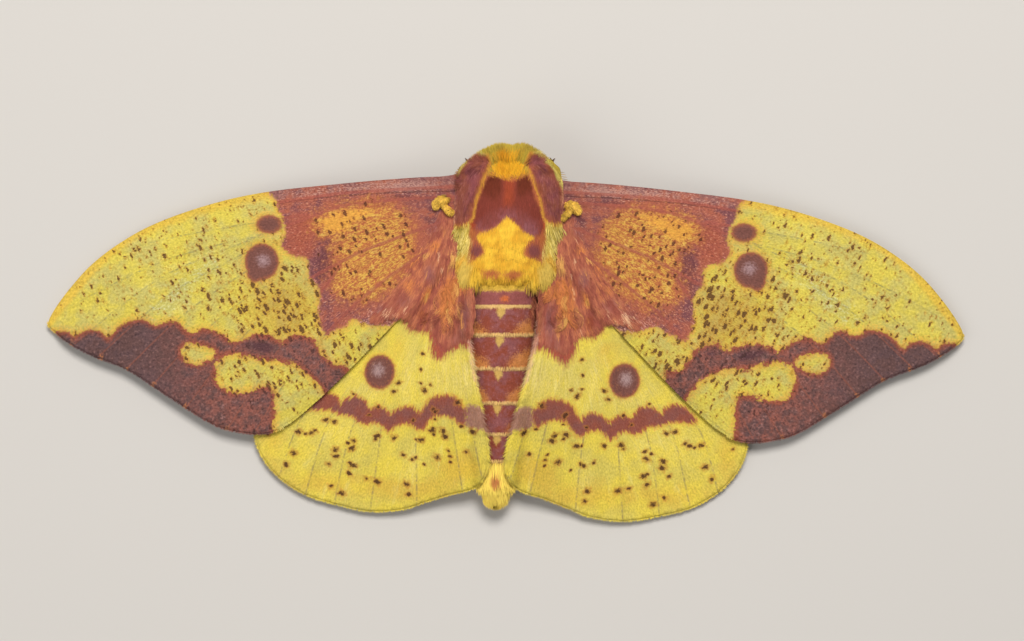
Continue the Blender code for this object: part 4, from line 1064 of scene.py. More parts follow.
def forewing_fields(flat, lines, seed):
    """What a forewing carries at these places of the right wing's plan."""
    x, y = flat.T
    return {
        "base": depth_in(flat, BASE_AREA),
        "cell": depth_in(flat, CELL_PATCH),
        "lens": depth_in(flat, CELL_LENS),
        "outer": np.minimum(depth_in(flat, OUTER_AREA), -depth_in(flat, WINDOW)),
        "spot": spots_depth(flat, FOREWING_SPOTS),
        "core": round_depth(flat, *FOREWING_CORE),
        "vein": np.min([away(flat, line) for line in lines], axis=0),
        "costa": eased(COSTA, x)[..., 0] - y,
        "worn": away(flat, WORN_STREAK),
        "dots": np.min([np.linalg.norm(flat - np.array(dot), axis=1) for dot in EDGE_DOTS], axis=0),
        "dust": 0.14 + clouds(flat, FOREWING_DUST),
        "frost": clouds(flat, FOREWING_FROST),
        "red": clouds(flat, FOREWING_RED),
        "dark": clouds(flat, FOREWING_DARK),
        "rusty": eases(-x, -50.0, -34.0),
        "lie": seeded(polar(flat), seed),
        "place": seeded(flat, seed),
        "slant": seeded(slanted(flat), seed),
    }


HINDWING_MARGIN = [(5.6, 4.9), (4.8, 2.8), (4.0, 0.0), (3.3, -3.2), (2.4, -6.4)]
HINDWING_GOLD = [(3.5, -18.0, 3.5, 2.5, 1.0), (10.0, -21.5, 6.0, 2.0, 0.8), (22.0, -21.5, 7.0, 2.0, 0.7),
                 (13.0, -3.0, 2.0, 2.5, 0.6), (29.0, -16.0, 2.0, 4.0, 0.7)]  # fmt: skip
HINDWING_PALE = [
    (3.4, -5.6, 1.3, 2.6, 1.0), (10.0, -19.0, 1.2, 3.0, 0.6), (16.5, -8.5, 3.5, 1.8, 0.6),
    (11.5, -6.0, 0.8, 4.0, 0.7), (20.0, -14.0, 5.0, 2.5, 0.4), (7.0, -6.0, 4.0, 4.0, 0.7),
]  # fmt: skip


def hindwing_fields(flat, lines, seed):
    """What a hindwing carries at these places of the right wing's plan."""
    specks = np.zeros(len(flat))
    rng = np.random.default_rng(5)
    for speck in SPECKS:
        slant = rng.uniform(-0.5, 0.9)
        size = rng.uniform(0.34, 0.68)
        gap = flat - np.array(speck)
        along = gap[:, 0] * math.cos(slant) + gap[:, 1] * math.sin(slant)
        across = gap[:, 1] * math.cos(slant) - gap[:, 0] * math.sin(slant)
        specks = np.maximum(specks, 1.6 - np.hypot(along / size, across / (size * 0.7)))
    return {
        "base": depth_in(flat, BASE_PATCH),
        "outer": depth_in(flat, BAND, 0.3) + 0.28,
        "margin": away(flat, HINDWING_MARGIN),
        "block": depth_in(flat, GREY_BLOCK),
        "spot": spots_depth(flat, HINDWING_SPOTS),
        "core": round_depth(flat, *HINDWING_CORE),
        "vein": np.min([away(flat, line) for line in lines], axis=0),
        "specks": specks,
        "golden": clouds(flat, HINDWING_GOLD),
        "pale": clouds(flat, HINDWING_PALE),
        "lie": seeded(polar(flat, (7.0, 14.0)), seed),
        "place": seeded(flat, seed),
    }


def scale_noises(made, cloud_scale, streak_stretch):
    """The noises that wear a wing's markings, from clouds down to single scales, and the wing's pleats."""
    place = made.place("place")
    cloud = made.noise(place, cloud_scale, 3.0) - 0.5
    blotch = made.noise(place, 0.85, 3.0, 0.6) - 0.5
    ragged = made.noise(place, 2.4, 3.0, 0.7) - 0.5
    streak = made.noise(made.place("lie", streak_stretch), 1.0, 3.0, 0.6) - 0.5
    fine = made.noise(made.place("lie", (3.0, 6.2, 1.0)), 1.0, 2.0, 0.65)
    pleat = made.noise(made.place("lie", (0.14, 0.9, 1.0)), 1.0, 2.0)
    return place, cloud, blotch, ragged, streak, fine, pleat


def flecks(made, stretch, scale, radius, density, warp, fuzz):
    """(speck, halo): small dark specks of loose scales with soft halos; density is from nought to one."""
    spread = made.place("slant", stretch)
    bent = made.node("ShaderNodeVectorMath", {"operation": "ADD"}, spread, warp)
    near = made.cells(bent, scale, "Distance")
    colour = made.cells(bent, scale, "Color")
    chance = made.node("ShaderNodeSeparateColor", {}, colour, output=0)
    size = made.node("ShaderNodeSeparateColor", {}, colour, output=1) * 0.7 + 0.65
    present = (density - chance).rise(-0.02, 0.08)
    reach = near / size + fuzz * 0.3
    return (radius - reach).rise(-0.08, 0.12) * present, (radius + 0.28 - reach).rise(0.0, 0.36) * present


def warped(made, place, amount):
    """A small shift of place that bends straight patterns."""
    shift = made.node("ShaderNodeTexNoise", {}, Vector=place, Scale=1.3, Detail=2.0, output="Color")
    middle = made.node("ShaderNodeVectorMath", {"operation": "SUBTRACT"}, shift, (0.5, 0.5, 0.5))
    return made.node("ShaderNodeVectorMath", {"operation": "MULTIPLY"}, middle, (amount, amount, 0.0))


def eyespot(made, colour, wear, rim_reach, core_reach, core_share, paint):
    """The colour with the wing's round spots on it: a dark ring with a rusty rim round a paler core."""
    edge, ragged, grain = wear
    ring, rim, core = paint
    spot = made.laid(
        rgb(*ring),
        ((rim_reach - made.field("spot") + ragged).rise(0.0, 0.6) * 0.8, *rim),
        ((made.field("core") + ragged * 1.4 + grain * 0.8).rise(-0.1, core_reach) * core_share, *core),
    )
    return made.mix((made.field("spot") + edge * 0.34).rise(-0.18, 0.2), colour, spot)


def scaled(made, colour, ragged, fine, pleat, wear):
    """The finished material: the colour in the light and shade of its scales and pleats."""
    light = 1.0 + (fine - 0.5) * 1.1 + (pleat - 0.5) * 0.25 + ragged * wear
    colour = shaded(made, colour, light)
    return made.done(colour, 0.8, fine + pleat * 2.0, 0.4, 0.12, Specular_IOR_Level=0.15)


def forewing_finish():
    """Yellow scales dusted with brown, a wine base round a mottled orange cell, and a dusky outer area."""
    made = Finish("forewing_scales")
    place, cloud, blotch, ragged, streak, fine, pleat = scale_noises(made, 0.32, (0.7, 3.4, 1.0))
    grain = fine - 0.5
    edge = ragged * 1.5 + grain * 1.3
    costa, vein, dark = made.field("costa"), made.field("vein"), made.field("dark")
    outer, rusty = made.field("outer"), made.field("rusty")
    warp = warped(made, place, 0.55)
    dust = made.field("dust") + cloud * 0.9 + blotch * 0.5
    broad = dust.least(1.2).most(0.0) * 0.12 + 0.22
    fuzz = ragged + grain * 1.5
    speck, halo = flecks(made, (1.0, 0.55, 1.0), 1.5, broad, dust * 1.35 + 0.14, warp, fuzz)
    speck_small, halo_small = flecks(made, (1.0, 0.7, 1.0), 2.2, 0.19, dust * 0.4 + 0.42, warp, fuzz)

    worn = (2.4 - made.field("worn") + blotch * 5.0).rise(0.4, 2.2)
    marks = outer.most(made.field("base")).most(made.field("spot"))
    dashes = (streak + ragged * 1.3).rise(-0.12, 0.22) * (costa - 1.0).rise(0.0, 2.0)
    veins = (0.17 - vein + grain * 0.16).rise(0.0, 0.12) * dashes
    yellow = made.laid(
        rgb(210, 190, 78),
        ((cloud + blotch * 0.4).rise(-0.14, 0.16), 192, 178, 96),
        # Painted highlight: paler streaks along the pleats, where light would catch them.
        ((pleat - 0.5 + ragged * 0.5).rise(0.06, 0.3) * 0.25, 210, 202, 126),
        ((1.6 - costa + ragged).rise(0.0, 1.2) * 0.8, 218, 178, 66),
        (worn * (grain + streak).rise(0.0, 0.22) * 0.6, 196, 196, 168),
        (worn * 0.35, 188, 184, 104),
        ((marks + 1.6 + edge * 1.3).rise(0.5, 1.8) * 0.68, 210, 156, 64),
        (veins * 0.62, 126, 120, 84),
        ((dust + ragged - 0.5).rise(0.0, 1.3) * 0.5, 180, 134, 58),
        (halo.most(halo_small * 0.7) * 0.7, 176, 122, 40),
        ((speck_small + ragged * 0.6).rise(0.3, 1.0) * 0.7, 112, 82, 38),
        ((speck + ragged * 0.5).rise(0.25, 0.85) * 0.85, 86, 58, 36),
    )

    frost = (made.field("frost") * 0.42 + grain * 1.5 + ragged * 0.7 + streak * 0.4).rise(0.24, 0.64)
    strip = (1.55 - costa + ragged * 0.4).rise(0.0, 0.5) * (blotch + ragged + 0.3).rise(0.0, 0.6)
    line = (0.14 - (costa - 1.75 + blotch * 0.3).size()).rise(0.0, 0.1) * (streak + 0.3).rise(0.0, 0.3)
    inner = made.field("cell") + ragged * 3.4 + blotch * 4.6
    wine = made.laid(
        rgb(164, 92, 74),
        ((cloud * 1.6 + blotch + streak * 0.8).rise(-0.2, 0.2), 124, 74, 76),
        ((grain + ragged * 0.5 + streak * 0.6).rise(0.04, 0.3) * 0.5, 184, 124, 100),
        ((ragged * 0.8 - grain - streak * 0.5).rise(0.08, 0.36) * 0.5, 104, 60, 56),
        ((made.field("red") + blotch * 1.2).rise(0.15, 0.9) * 0.75, 164, 84, 62),
        ((dark + blotch * 1.4 + streak).rise(0.2, 0.8) * 0.7, 104, 58, 60),
        ((ragged + grain).rise(0.04, 0.3) * 0.6, 198, 136, 108),
        ((-ragged - grain * 0.8).rise(0.06, 0.3) * 0.62, 106, 60, 56),
        (frost * 0.62, 214, 168, 150),
        (strip * 0.6, 158, 112, 100),
        (line * 0.7, 94, 54, 50),
        ((inner + 2.4).rise(0.0, 2.8) * 0.75, 184, 104, 60),
    )

    mottle = made.noise(made.place("lie", (0.85, 1.7, 1.0)), 1.0, 4.0, 0.75) - 0.5
    mottle += grain * 0.6
    lens = (made.field("lens") + ragged * 2.0).rise(-0.3, 0.7)
    orange = made.laid(
        rgb(194, 124, 60),
        (mottle.rise(-0.1, 0.12), 212, 164, 74),
        ((blotch + ragged).rise(0.05, 0.4) * 0.6, 212, 184, 98),
        (lens * 0.8, 222, 158, 66),
    )
    patch = inner.rise(-1.5, 1.3) * (mottle + ragged * 0.4 + lens * 0.25).rise(-0.2, 0.12)
    redder = (-blotch - cloud * 0.6 + ragged * 0.3).rise(0.04, 0.24) * (1.0 - lens)
    crossing = (0.3 - vein + grain * 0.3 + ragged * 0.2).rise(0.0, 0.2)
    crowd = (made.field("cell") + 1.2 + dark * 0.6).rise(0.0, 1.2) * 0.95 + cloud * 0.6
    dots, dots_halo = flecks(made, (1.0, 0.6, 1.0), 1.45, 0.27, crowd, warp, ragged + grain)
    base = made.laid(
        made.mix(patch, wine, orange),
        (redder * 0.5, 164, 88, 62),
        (crossing * 0.65, 160, 84, 70),
        (dots_halo * 0.4, 150, 80, 46),
        ((dots + ragged * 0.6).rise(0.2, 0.7) * 0.8, 84, 46, 36),
    )
    colour = made.mix((made.field("base") + edge * 0.62 + blotch * 0.9).rise(-0.22, 0.3), yellow, base)

    dusk = made.laid(
        rgb(97, 69, 65),
        ((cloud + blotch).rise(-0.2, 0.25), 96, 72, 72),
        (rusty * (blotch * 2.6 + ragged + 0.5).rise(0.0, 1.0) * 0.8, 154, 90, 74),
        (rusty * (ragged * 1.5 - blotch).rise(0.05, 0.55) * 0.6, 172, 120, 112),
        ((0.95 - outer + ragged * 1.3).rise(0.0, 0.9) * 0.8, 150, 76, 52),
        ((dark + blotch * 1.6 + ragged * 1.4).rise(0.35, 0.9) * 0.8, 76, 50, 56),
        ((ragged * 1.3 + grain * 0.7).rise(0.05, 0.4) * 0.5, 152, 112, 104),
        ((blotch * 0.5 - ragged - grain).rise(0.06, 0.36) * 0.6, 66, 44, 46),
        ((0.16 - vein + grain * 0.1).rise(0.0, 0.12) * 0.4, 150, 84, 64),
        (speck.most(speck_small) * rusty * 0.7, 70, 44, 40),
    )
    colour = made.mix((outer + edge * 0.55 + rusty * blotch * 2.4).rise(-0.18, 0.24), colour, dusk)
    near_dot = 0.4 - made.field("dots") + grain + ragged * 0.5
    colour = made.laid(colour, (near_dot.rise(0.0, 0.4) * 0.6, 190, 118, 66))
    paint = ((120, 76, 66), (158, 92, 62), (172, 140, 140))
    colour = eyespot(made, colour, (edge, ragged, grain), 0.6, 1.2, 0.75, paint)
    return scaled(made, colour, ragged, fine, pleat, 0.3)


def hindwing_finish():
    """Yellow scales with a scalloped wine band, one round spot and a few loose specks."""
    made = Finish("hindwing_scales")
    place, cloud, blotch, ragged, streak, fine, pleat = scale_noises(made, 0.3, (0.6, 3.0, 1.0))
    grain = fine - 0.5
    edge = ragged * 1.3 + grain * 1.1
    outer, base = made.field("outer"), made.field("base")
    golden = (made.field("golden") + cloud + blotch * 0.6).rise(0.2, 0.9)
    pale = made.field("pale") * (streak + 0.5).rise(0.25, 0.7)
    down = made.node("ShaderNodeSeparateXYZ", {}, place, output=1)
    dashes = (streak + ragged * 1.5).rise(-0.25, 0.2) * ((-9.5 - down).rise(0.0, 2.5) * 0.75 + 0.25)
    veins = (0.18 - made.field("vein") + grain * 0.2).rise(0.0, 0.12) * dashes
    marks = outer.most(made.field("spot"))
    yellow = made.laid(
        rgb(224, 199, 75),
        ((cloud + blotch * 0.3).rise(-0.16, 0.16), 208, 188, 86),
        (golden * 0.65, 216, 174, 62),
        # Painted highlight: paler streaks along the pleats, where light would catch them.
        ((pleat - 0.5 + streak * 0.5).rise(0.08, 0.34) * 0.3, 212, 206, 138),
        (pale * 0.75, 232, 210, 124),
        (veins * 0.62, 132, 116, 84),
        ((marks + 0.9 + edge).rise(0.3, 1.1) * 0.6, 206, 148, 60),
    )
    wine = made.laid(
        rgb(144, 78, 62),
        ((cloud * 1.5 + blotch + grain).rise(-0.25, 0.3), 132, 80, 72),
        ((0.45 - outer + ragged).rise(0.0, 0.5) * 0.6, 176, 96, 58),
    )
    colour = made.mix((outer + edge * 0.55 + streak * 1.9).rise(-0.24, 0.32), yellow, wine)
    grey = made.laid(rgb(158, 108, 100), ((blotch + ragged).rise(-0.2, 0.3), 140, 90, 86))
    colour = made.mix((made.field("block") + edge * 0.9).rise(-0.1, 0.5) * 0.9, colour, grey)
    rust = made.laid(
        rgb(150, 76, 66),
        ((streak * 1.6 + blotch).rise(-0.3, 0.4), 168, 82, 58),
        ((base - 3.2 + blotch * 2.0).rise(0.0, 2.0) * 0.7, 196, 100, 54),
    )
    colour = made.mix((base + edge * 0.8 + streak * 2.8).rise(-0.5, 0.6), colour, rust)
    lining = (0.36 - made.field("margin") + ragged * 0.5).rise(0.0, 0.4)
    colour = made.laid(colour, (lining * 0.75, 222, 176, 146))
    paint = ((118, 74, 64), (156, 88, 62), (176, 146, 142))
    colour = eyespot(made, colour, (edge, ragged, grain), 0.55, 1.1, 0.8, paint)
    specks = made.field("specks") + ragged * 2.2 + grain * 0.9
    colour = made.laid(
        colour,
        ((specks - 0.1).rise(0.0, 0.8) * 0.6, 176, 112, 46),
        ((specks - 0.75).rise(0.0, 0.5) * 0.92, 74, 44, 30),
    )
    return scaled(made, colour, ragged, fine, pleat, 0.26)


rings_of_specks = [
    np.array(speck) + radius * np.array((math.cos(a), math.sin(a)))
    for speck in SPECKS
    for radius in (0.0, 0.2, 0.42)
    for a in np.arange(0.0, 6.28, 0.9 if radius else 7.0)
]
FORE_PLAN = wing_plan(FOREWING_OUTLINE, FOREWING_VEINS, [])
HIND_PLAN = wing_plan(HINDWING_OUTLINE, HINDWING_VEINS, [np.array(rings_of_specks)])
WINGS = {
    "forewing": (FORE_PLAN, FORE_WING, forewing_height, forewing_fields, forewing_finish(), 3.0),
    "hindwing": (HIND_PLAN, HIND_WING, sheet_height, hindwing_fields, hindwing_finish(), 40.0),
}

for side in SIDES:
    for name, (plan, wing, height_of, fields_of, finish, seed) in WINGS.items():
        flat, triangles, lines, _ = plan
        there = to_side(flat, side, *wing)
        fields = fields_of(flat, lines, seed + SEED_SHIFT[side])
        low = height_of(there[:, 0], there[:, 1]) + SKIN_LIFT[name]
        if name == "forewing":
            low -= 0.5 * eases(-past_edge(*flat.T), -2.2, 0.0) * eases(-flat[:, 0], -30.0, -27.5)
        ridge = VEIN_RISE * np.clip(1.0 - fields["vein"] / VEIN_HALF, 0.0, 1.0)
        under = np.column_stack([there, low])
        over = np.column_stack([there, low + WING_SKIN + ridge])
        count = len(flat)
        faces = [triangles + count, triangles[:, ::-1]]
        edges = np.concatenate([triangles[:, pair] for pair in ([0, 1], [1, 2], [2, 0])])
        edges = dict.fromkeys(map(tuple, edges))
        walls = [(a, b) for a, b in edges if (b, a) not in edges]
        faces.append(np.array([(b + count, a + count, a) for a, b in walls]))
        faces.append(np.array([(b + count, a, b) for a, b in walls]))
        faces = np.concatenate(faces)
        if side == "left":
            faces = faces[:, ::-1]
        both = {key: np.concatenate([v, v]) for key, v in fields.items()}
        sheet = put(f"{name}_{side}_scales", np.concatenate([under, over]), faces, finish, both)
        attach(sheet, "root")
        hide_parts(f"{name}_{side}")


# Hair on the wings. Long soft hair grows over the wing roots, curled in places, with a hooked tuft on each
# forewing. More of it joins the thorax's side and the flank to the wings, and a fringe of scales edges them.


def right_plan(x, y):
    """Places of either side near the wing roots, as about the same places of the right side."""
    return np.where(x < 0, -x - 0.3, x), np.where(x < 0, y - 0.7, y)


def wing_top(spots):
    """Places on top of the wings: on the forewing, and from its inner edge easing down to the hindwing."""
    x, y = spots.T
    share = eases(past_edge(*right_plan(x, y)), -1.1, 0.2)
    low = sheet_height(x, y) + SKIN_LIFT["hindwing"]
    high = forewing_height(x, y) + SKIN_LIFT["forewing"]
    return np.column_stack([spots, low + (high - low) * share + WING_SKIN])


def facing_of(place_of, spots):
    """The surface's outward direction under these places."""
    roots = place_of(spots)
    over_x = place_of(spots + np.array([0.05, 0.0])) - roots
    over_y = place_of(spots + np.array([0.0, 0.05])) - roots
    return unit(np.cross(over_x, over_y))


def draped(flat, heading, length, rise, curl, phase, side, wing, place_of, rng, kind):
    """Centres and normals of tufts that follow a surface along their whole length."""
    count = len(flat)
    ahead = np.stack([np.cos(heading), np.sin(heading)], axis=-1)
    across = ahead[:, ::-1] * np.array([-1.0, 1.0])
    length = np.broadcast_to(length, count) * rng.uniform(0.75, 1.2, count)
    rise = np.broadcast_to(rise, count) * rng.uniform(0.5, 1.3, count)
    sway = rng.normal(0.0, 0.08, count)
    rows, facing = [], []
    for share in TUFT_RINGS[kind][0]:
        aside = sway * share**2 + curl * (np.sin(share * 11.0 + phase) - np.sin(phase))
        spots = to_side(flat + length[:, None] * (ahead * share + across * aside[:, None]), side, *wing)
        normals = facing_of(place_of, spots)
        up = rise * (share * (1.3 - share) * 3.0 + 0.8 * curl * np.sin(share * 13.0 + phase)) - 0.04
        rows.append(place_of(spots) + normals * up[:, None])
        facing.append(normals)
    return np.stack(rows), facing[0]


FIRE = [
    (7.2, 5.2, 1.3, 1.6, 1.0), (7.6, 2.2, 1.2, 2.4, 0.9), (10.4, 4.2, 0.6, 1.3, 0.8),
    (12.0, 9.0, 1.2, 1.6, 0.7), (9.2, 10.6, 0.9, 0.8, 0.7), (12.6, 5.4, 1.2, 1.2, 0.5),
    (5.4, 5.4, 1.0, 1.0, 0.6), (11.4, 0.0, 1.0, 0.8, 0.6),
]  # fmt: skip
GOLD = [
    (6.8, 8.4, 0.8, 1.3, 1.1), (7.3, 1.6, 0.6, 1.2, 0.8), (10.4, 3.9, 0.25, 0.7, 0.9),
    (10.9, 9.4, 0.8, 0.5, 0.8), (13.2, 6.9, 0.7, 0.4, 0.8), (6.6, 4.6, 0.6, 0.8, 0.3),
]  # fmt: skip
CREAM = [
    (8.75, 9.3, 0.22, 0.8, 0.8), (8.3, 7.5, 0.3, 0.35, 0.9), (8.6, 5.4, 0.16, 1.6, 0.5),
    (10.9, 9.4, 0.5, 0.4, 0.4), (13.1, 2.4, 0.3, 1.0, 0.5), (15.6, 1.8, 1.6, 1.0, 0.7),
    (9.6, 0.7, 0.2, 1.2, 0.5), (9.0, 12.6, 0.5, 1.6, 0.3),
]  # fmt: skip
DUSK = [
    (5.4, 1.6, 0.9, 2.4, 1.0), (9.9, 6.9, 0.9, 1.4, 0.8), (9.6, 13.6, 1.2, 1.4, 1.0),
    (13.4, 3.6, 1.4, 1.2, 0.6), (6.6, -1.4, 1.2, 1.0, 0.5), (16.5, 2.4, 1.6, 0.8, 0.7),
]  # fmt: skip
DEEP = [(10.8, 1.4, 0.7, 1.1, 1.0), (8.2, 12.4, 0.7, 1.6, 0.3), (7.0, -2.4, 0.9, 0.9, 0.4)]


def root_fields(seen):
    """What the hair at the wing roots carries: how orange, golden, cream, greyish or deep red it is."""
    flat = np.column_stack(right_plan(seen[:, 0], seen[:, 1]))
    arm = flat - np.array([6.2, 15.5])
    reach, turn = np.linalg.norm(arm, axis=1), np.arctan2(arm[:, 1], arm[:, 0])
    return {
        "place": seen,
        "flow": np.column_stack([turn * 12.0, reach * 0.22, np.sign(seen[:, 0]) * 9.0]),
        "fire": clouds(flat, FIRE),
        "gold": clouds(flat, GOLD),
        "cream": clouds(flat, CREAM),
        "dusk": clouds(flat, DUSK),
        "deep": clouds(flat, DEEP),
        "bright": np.zeros(len(seen)),
    }


def plain_fields(bright_of):
    """The same for hair of one kind, as bright a yellow as told."""
    def fields_of(seen):
        nought = np.zeros(len(seen))
        fields = dict.fromkeys(("fire", "gold", "dusk", "deep"), nought)
        return fields | {"place": seen, "flow": seen * 0.5, "cream": nought - 0.5, "bright": bright_of(seen)}
    return fields_of


def hair_finish():
    """Long soft hair: wine and rust, with orange, golden and cream locks."""
    made = Finish("root_hair")
    cloud = made.noise(made.place("place"), 0.9, 2.0) - 0.5
    strand = made.noise(made.place("flow"), 1.7, 3.0, 0.65) - 0.5
    tone = made.field("tone") - 0.5
    bright = made.field("bright")
    ragged = cloud + strand * 2.2 + tone * 0.3
    cream = made.field("cream") + strand * 1.5 + tone * 0.5
    colour = made.laid(
        rgb(156, 82, 66),
        ((cloud * 1.4 + strand * 1.6).rise(-0.3, 0.35), 190, 114, 82),
        ((made.field("dusk") + ragged).rise(0.2, 0.9) * 0.8, 140, 86, 84),
        ((made.field("deep") + ragged * 0.5).rise(0.2, 0.8) * 0.8, 132, 60, 42),
        ((made.field("fire") + ragged).rise(0.1, 1.0) * 0.9, 206, 124, 66),
        ((made.field("gold") + ragged).rise(0.3, 1.1) * 0.9, 220, 164, 88),
        (cream.rise(0.5, 0.85) * 0.8, 230, 182, 140),
        (bright * (1.0 + tone * 0.5), 232, 184, 74),
    )
    # Painted shade: cloudy light and dark patches on the hooked tufts, and darker roots on every tuft.
    hook_shade_patches = bright * (cloud * 1.4 + strand * 0.6)
    light = 0.92 + made.field("tip") * 0.2 + tone * 0.34 + strand * 0.5 + hook_shade_patches
    return made.done(shaded(made, colour, light), 0.75, Specular_IOR_Level=0.15)


HAIR_FINISH = hair_finish()
ROOT_HAIR = [
    (6.0, 15.4), (8.6, 15.6), (9.8, 12.6), (11.8, 9.4), (13.6, 6.2), (15.6, 3.8), (17.4, 1.6),
    (16.4, 0.6), (14.6, 1.4), (13.2, 1.6), (12.2, 1.2), (11.2, 0.2), (9.7, 0.2), (8.8, -0.7), (7.4, -2.4),
    (5.8, -1.4), (4.0, -0.8), (3.6, 1.5), (3.6, 4.2), (4.0, 6.6), (4.8, 8.6),
]  # fmt: skip
CURLS = [(5.6, 7.2), (7.8, 7.0), (8.8, 4.2), (8.8, 1.8), (7.4, 1.2), (5.8, 2.6)]


def spread_in(outline, number, rng):
    """Places scattered within an outline."""
    outline = smooth_line(outline, 0.5, closed=True)
    low, high = outline.min(axis=0), outline.max(axis=0)
    found = rng.uniform(low, high, (number * 5, 2))
    return found[within(found, outline)][:number]


def flow_at(flat):
    """Which way the hair of the wing roots lies."""
    return np.interp(flat[:, 0], [5.0, 8.0, 11.0, 15.0], [-1.64, -1.42, -1.12, -0.93])


ROOT_TUFTS, LOCKS, CURL_TUFTS = 14600, 90, 1400
SIDE_TUFTS, FLANK_TUFTS, HOOK_TUFTS = 4500, 800, 1900
FRINGE_LENGTH = {"forewing": 0.5, "hindwing": 0.55}
STALK_GIRTH, CAP_GIRTH, HOOK_HEIGHT = 0.33, 0.48, 0.7

for side, sign in SIDES.items():
    flat = spread_in(ROOT_HAIR, ROOT_TUFTS, rng)
    deep = depth_in(flat, ROOT_HAIR)
    flat = flat[deep > rng.uniform(0.0, 0.9, len(deep))]
    deep = depth_in(flat, ROOT_HAIR)
    length = 0.8 + 1.1 * eases(deep, 0.0, 1.4)
    heading = flow_at(flat) + rng.normal(0.0, 0.1, len(flat))
    rise = 0.05 + 0.08 * eases(deep, 0.0, 1.5)
    lock = flat[rng.integers(0, 7000, LOCKS)]
    lock = lock[depth_in(lock, CURLS) > 0.0]
    picked = rng.integers(0, len(lock), CURL_TUFTS)
    curly = lock[picked] + rng.normal(0.0, 0.1, (CURL_TUFTS, 2))
    swing = rng.uniform(0.0, 6.28, len(lock))[picked] + rng.normal(0.0, 0.2, CURL_TUFTS)
    shade = rng.uniform(-0.7, 0.5, len(lock))[picked]
    turned = flow_at(curly) + rng.normal(0.0, 0.3, len(lock))[picked]

    def curl_fields(seen, shade=shade):
        fields = root_fields(seen)
        fields["gold"], fields["cream"] = fields["gold"] + shade, fields["cream"] + shade * 0.4
        return fields

    for part, spots, heading, length, rise, curl, swing, width, kind in (
        ("root_hair", flat, heading, length, rise, 0.0, 0.0, FINE_WIDTH, "short"),
        ("root_curls", curly, turned, rng.uniform(1.8, 2.8, CURL_TUFTS), 0.3, 0.095, swing, 0.07, "curled"),
    ):
        centres, normals = draped(
            spots, heading, length, rise, curl, swing, side, FORE_WING, wing_top, rng, kind
        )  # fmt: skip
        low, high = spots.min(axis=0), spots.max(axis=0)
        unwrap = (spots - low) / (high - low)
        own = root_fields if part == "root_hair" else curl_fields
        hair = tufts(f"{part}_{side}", centres, normals, width, unwrap, own, HAIR_FINISH, rng, kind)

    # Long pale hair of the thorax's side, which spreads back over the wing roots, and the shoulder's fringe.
    number = SIDE_TUFTS
    y = rng.uniform(5.1, 20.2, number)
    tilt = np.radians(rng.uniform(4.0, 50.0, number))
    low = y < 14.2
    tilt = np.where(low, tilt, np.radians(rng.uniform(-8.0, 26.0, number)))
    angle = tilt if side == "right" else np.pi - tilt
    roots, normals, _ = on_loft(THORAX, thorax_out, y, angle, np.zeros(number))
    spread = rng.uniform(0.1, 0.9, number) * (1.2 - 0.9 * np.sin(tilt))
    spread = np.where(low, spread, rng.uniform(0.0, 0.25, number)) * (0.35 + 0.65 * eases(y, 6.0, 9.5))
    back = np.where(low, rng.uniform(0.9, 2.0, number), rng.uniform(0.5, 1.0, number))
    ends = wing_top(roots[:, :2] + np.column_stack([sign * spread, -back]))
    ends[:, 2] += rng.uniform(0.1, 0.5, number)
    drop = np.where(low, 1.9, 0.6)
    ends[:, 2] = np.clip(ends[:, 2], roots[:, 2] - drop, roots[:, 2] + 0.1)
    bend = roots * 0.45 + ends * 0.55 + normals * np.where(low, 0.35, 0.1)[:, None]
    centres = bowed(roots, bend, ends)
    normals = unit(normals + [0.0, 0.0, 0.7])
    unwrap = body_unwrap(THORAX, y, angle)
    name = f"side_hair_{side}"
    skirt = tufts(name, centres, normals, 0.09, unwrap, body_fields, BODY_FINISH, rng, "long")

    # Tufts from the flank out to the wings' roots, which close the join on the underside.
    number = FLANK_TUFTS
    y, angle = rng.uniform(1.5, 6.4, number), np.radians(rng.uniform(-12.0, 42.0, number))
    angle = angle if side == "right" else np.pi - angle
    roots, normals, _ = on_loft(ABDOMEN, abdomen_out, y, angle, np.zeros(number))
    lies = unit(normals * 0.3 + [sign * 0.8, -0.4, 0.3] + rng.normal(0.0, 0.12, normals.shape))
    centres = swept(roots, normals, lies, rng.uniform(1.3, 2.4, number), 0.05, 0.08, rng, "long")
    normals = unit(normals + [0.0, 0.0, -0.4])
    unwrap = body_unwrap(ABDOMEN, y, angle)
    name = f"flank_hair_{side}"
    flank = tufts(name, centres, normals, 0.13, unwrap, root_fields, HAIR_FINISH, rng, "long")

    # The fringe: short scales that stand out from a wing's margin, longer and slanted at the inner one.
    for part, (plan, wing, height_of, fields_of, finish, seed) in WINGS.items():
        veins, outline = plan[2:]
        line = smooth_line(outline, 0.06, closed=True)
        ahead = np.roll(line, -1, axis=0) - np.roll(line, 1, axis=0)
        outward = np.arctan2(-ahead[:, 0], ahead[:, 1])
        if part == "forewing":
            keep = (line[:, 1] < 0.0) & (line[:, 0] > 14.0)
        else:
            keep = (line[:, 1] < -8.0) & (line[:, 0] > 8.0) | (line[:, 0] < 8.1) & (line[:, 1] < 5.0)
        line, outward = line[keep], outward[keep]
        probe = line + 0.2 * np.stack([np.cos(outward), np.sin(outward)], axis=-1)
        outward = np.where(within(probe, outline), outward + np.pi, outward)
        line = np.repeat(line, 2, axis=0) + rng.uniform(-0.05, 0.05, (2 * len(line), 2))
        outward = np.repeat(outward, 2) + rng.normal(0.0, 0.14, len(line))
        flat = line - 0.25 * np.stack([np.cos(outward), np.sin(outward)], axis=-1)
        inner = (flat[:, 0] < 8.0) & (flat[:, 1] > -17.5)
        over_hind = (part == "forewing") & (flat[:, 0] < 29.0)
        length = FRINGE_LENGTH[part] + 0.7 * inner - 0.26 * over_hind
        outward += np.where(inner, 1.12, 0.0)
        lift = SKIN_LIFT[part] + WING_SKIN - 0.08

        def over(spots, height_of=height_of, lift=lift):
            return np.column_stack([spots, height_of(spots[:, 0], spots[:, 1]) + lift])

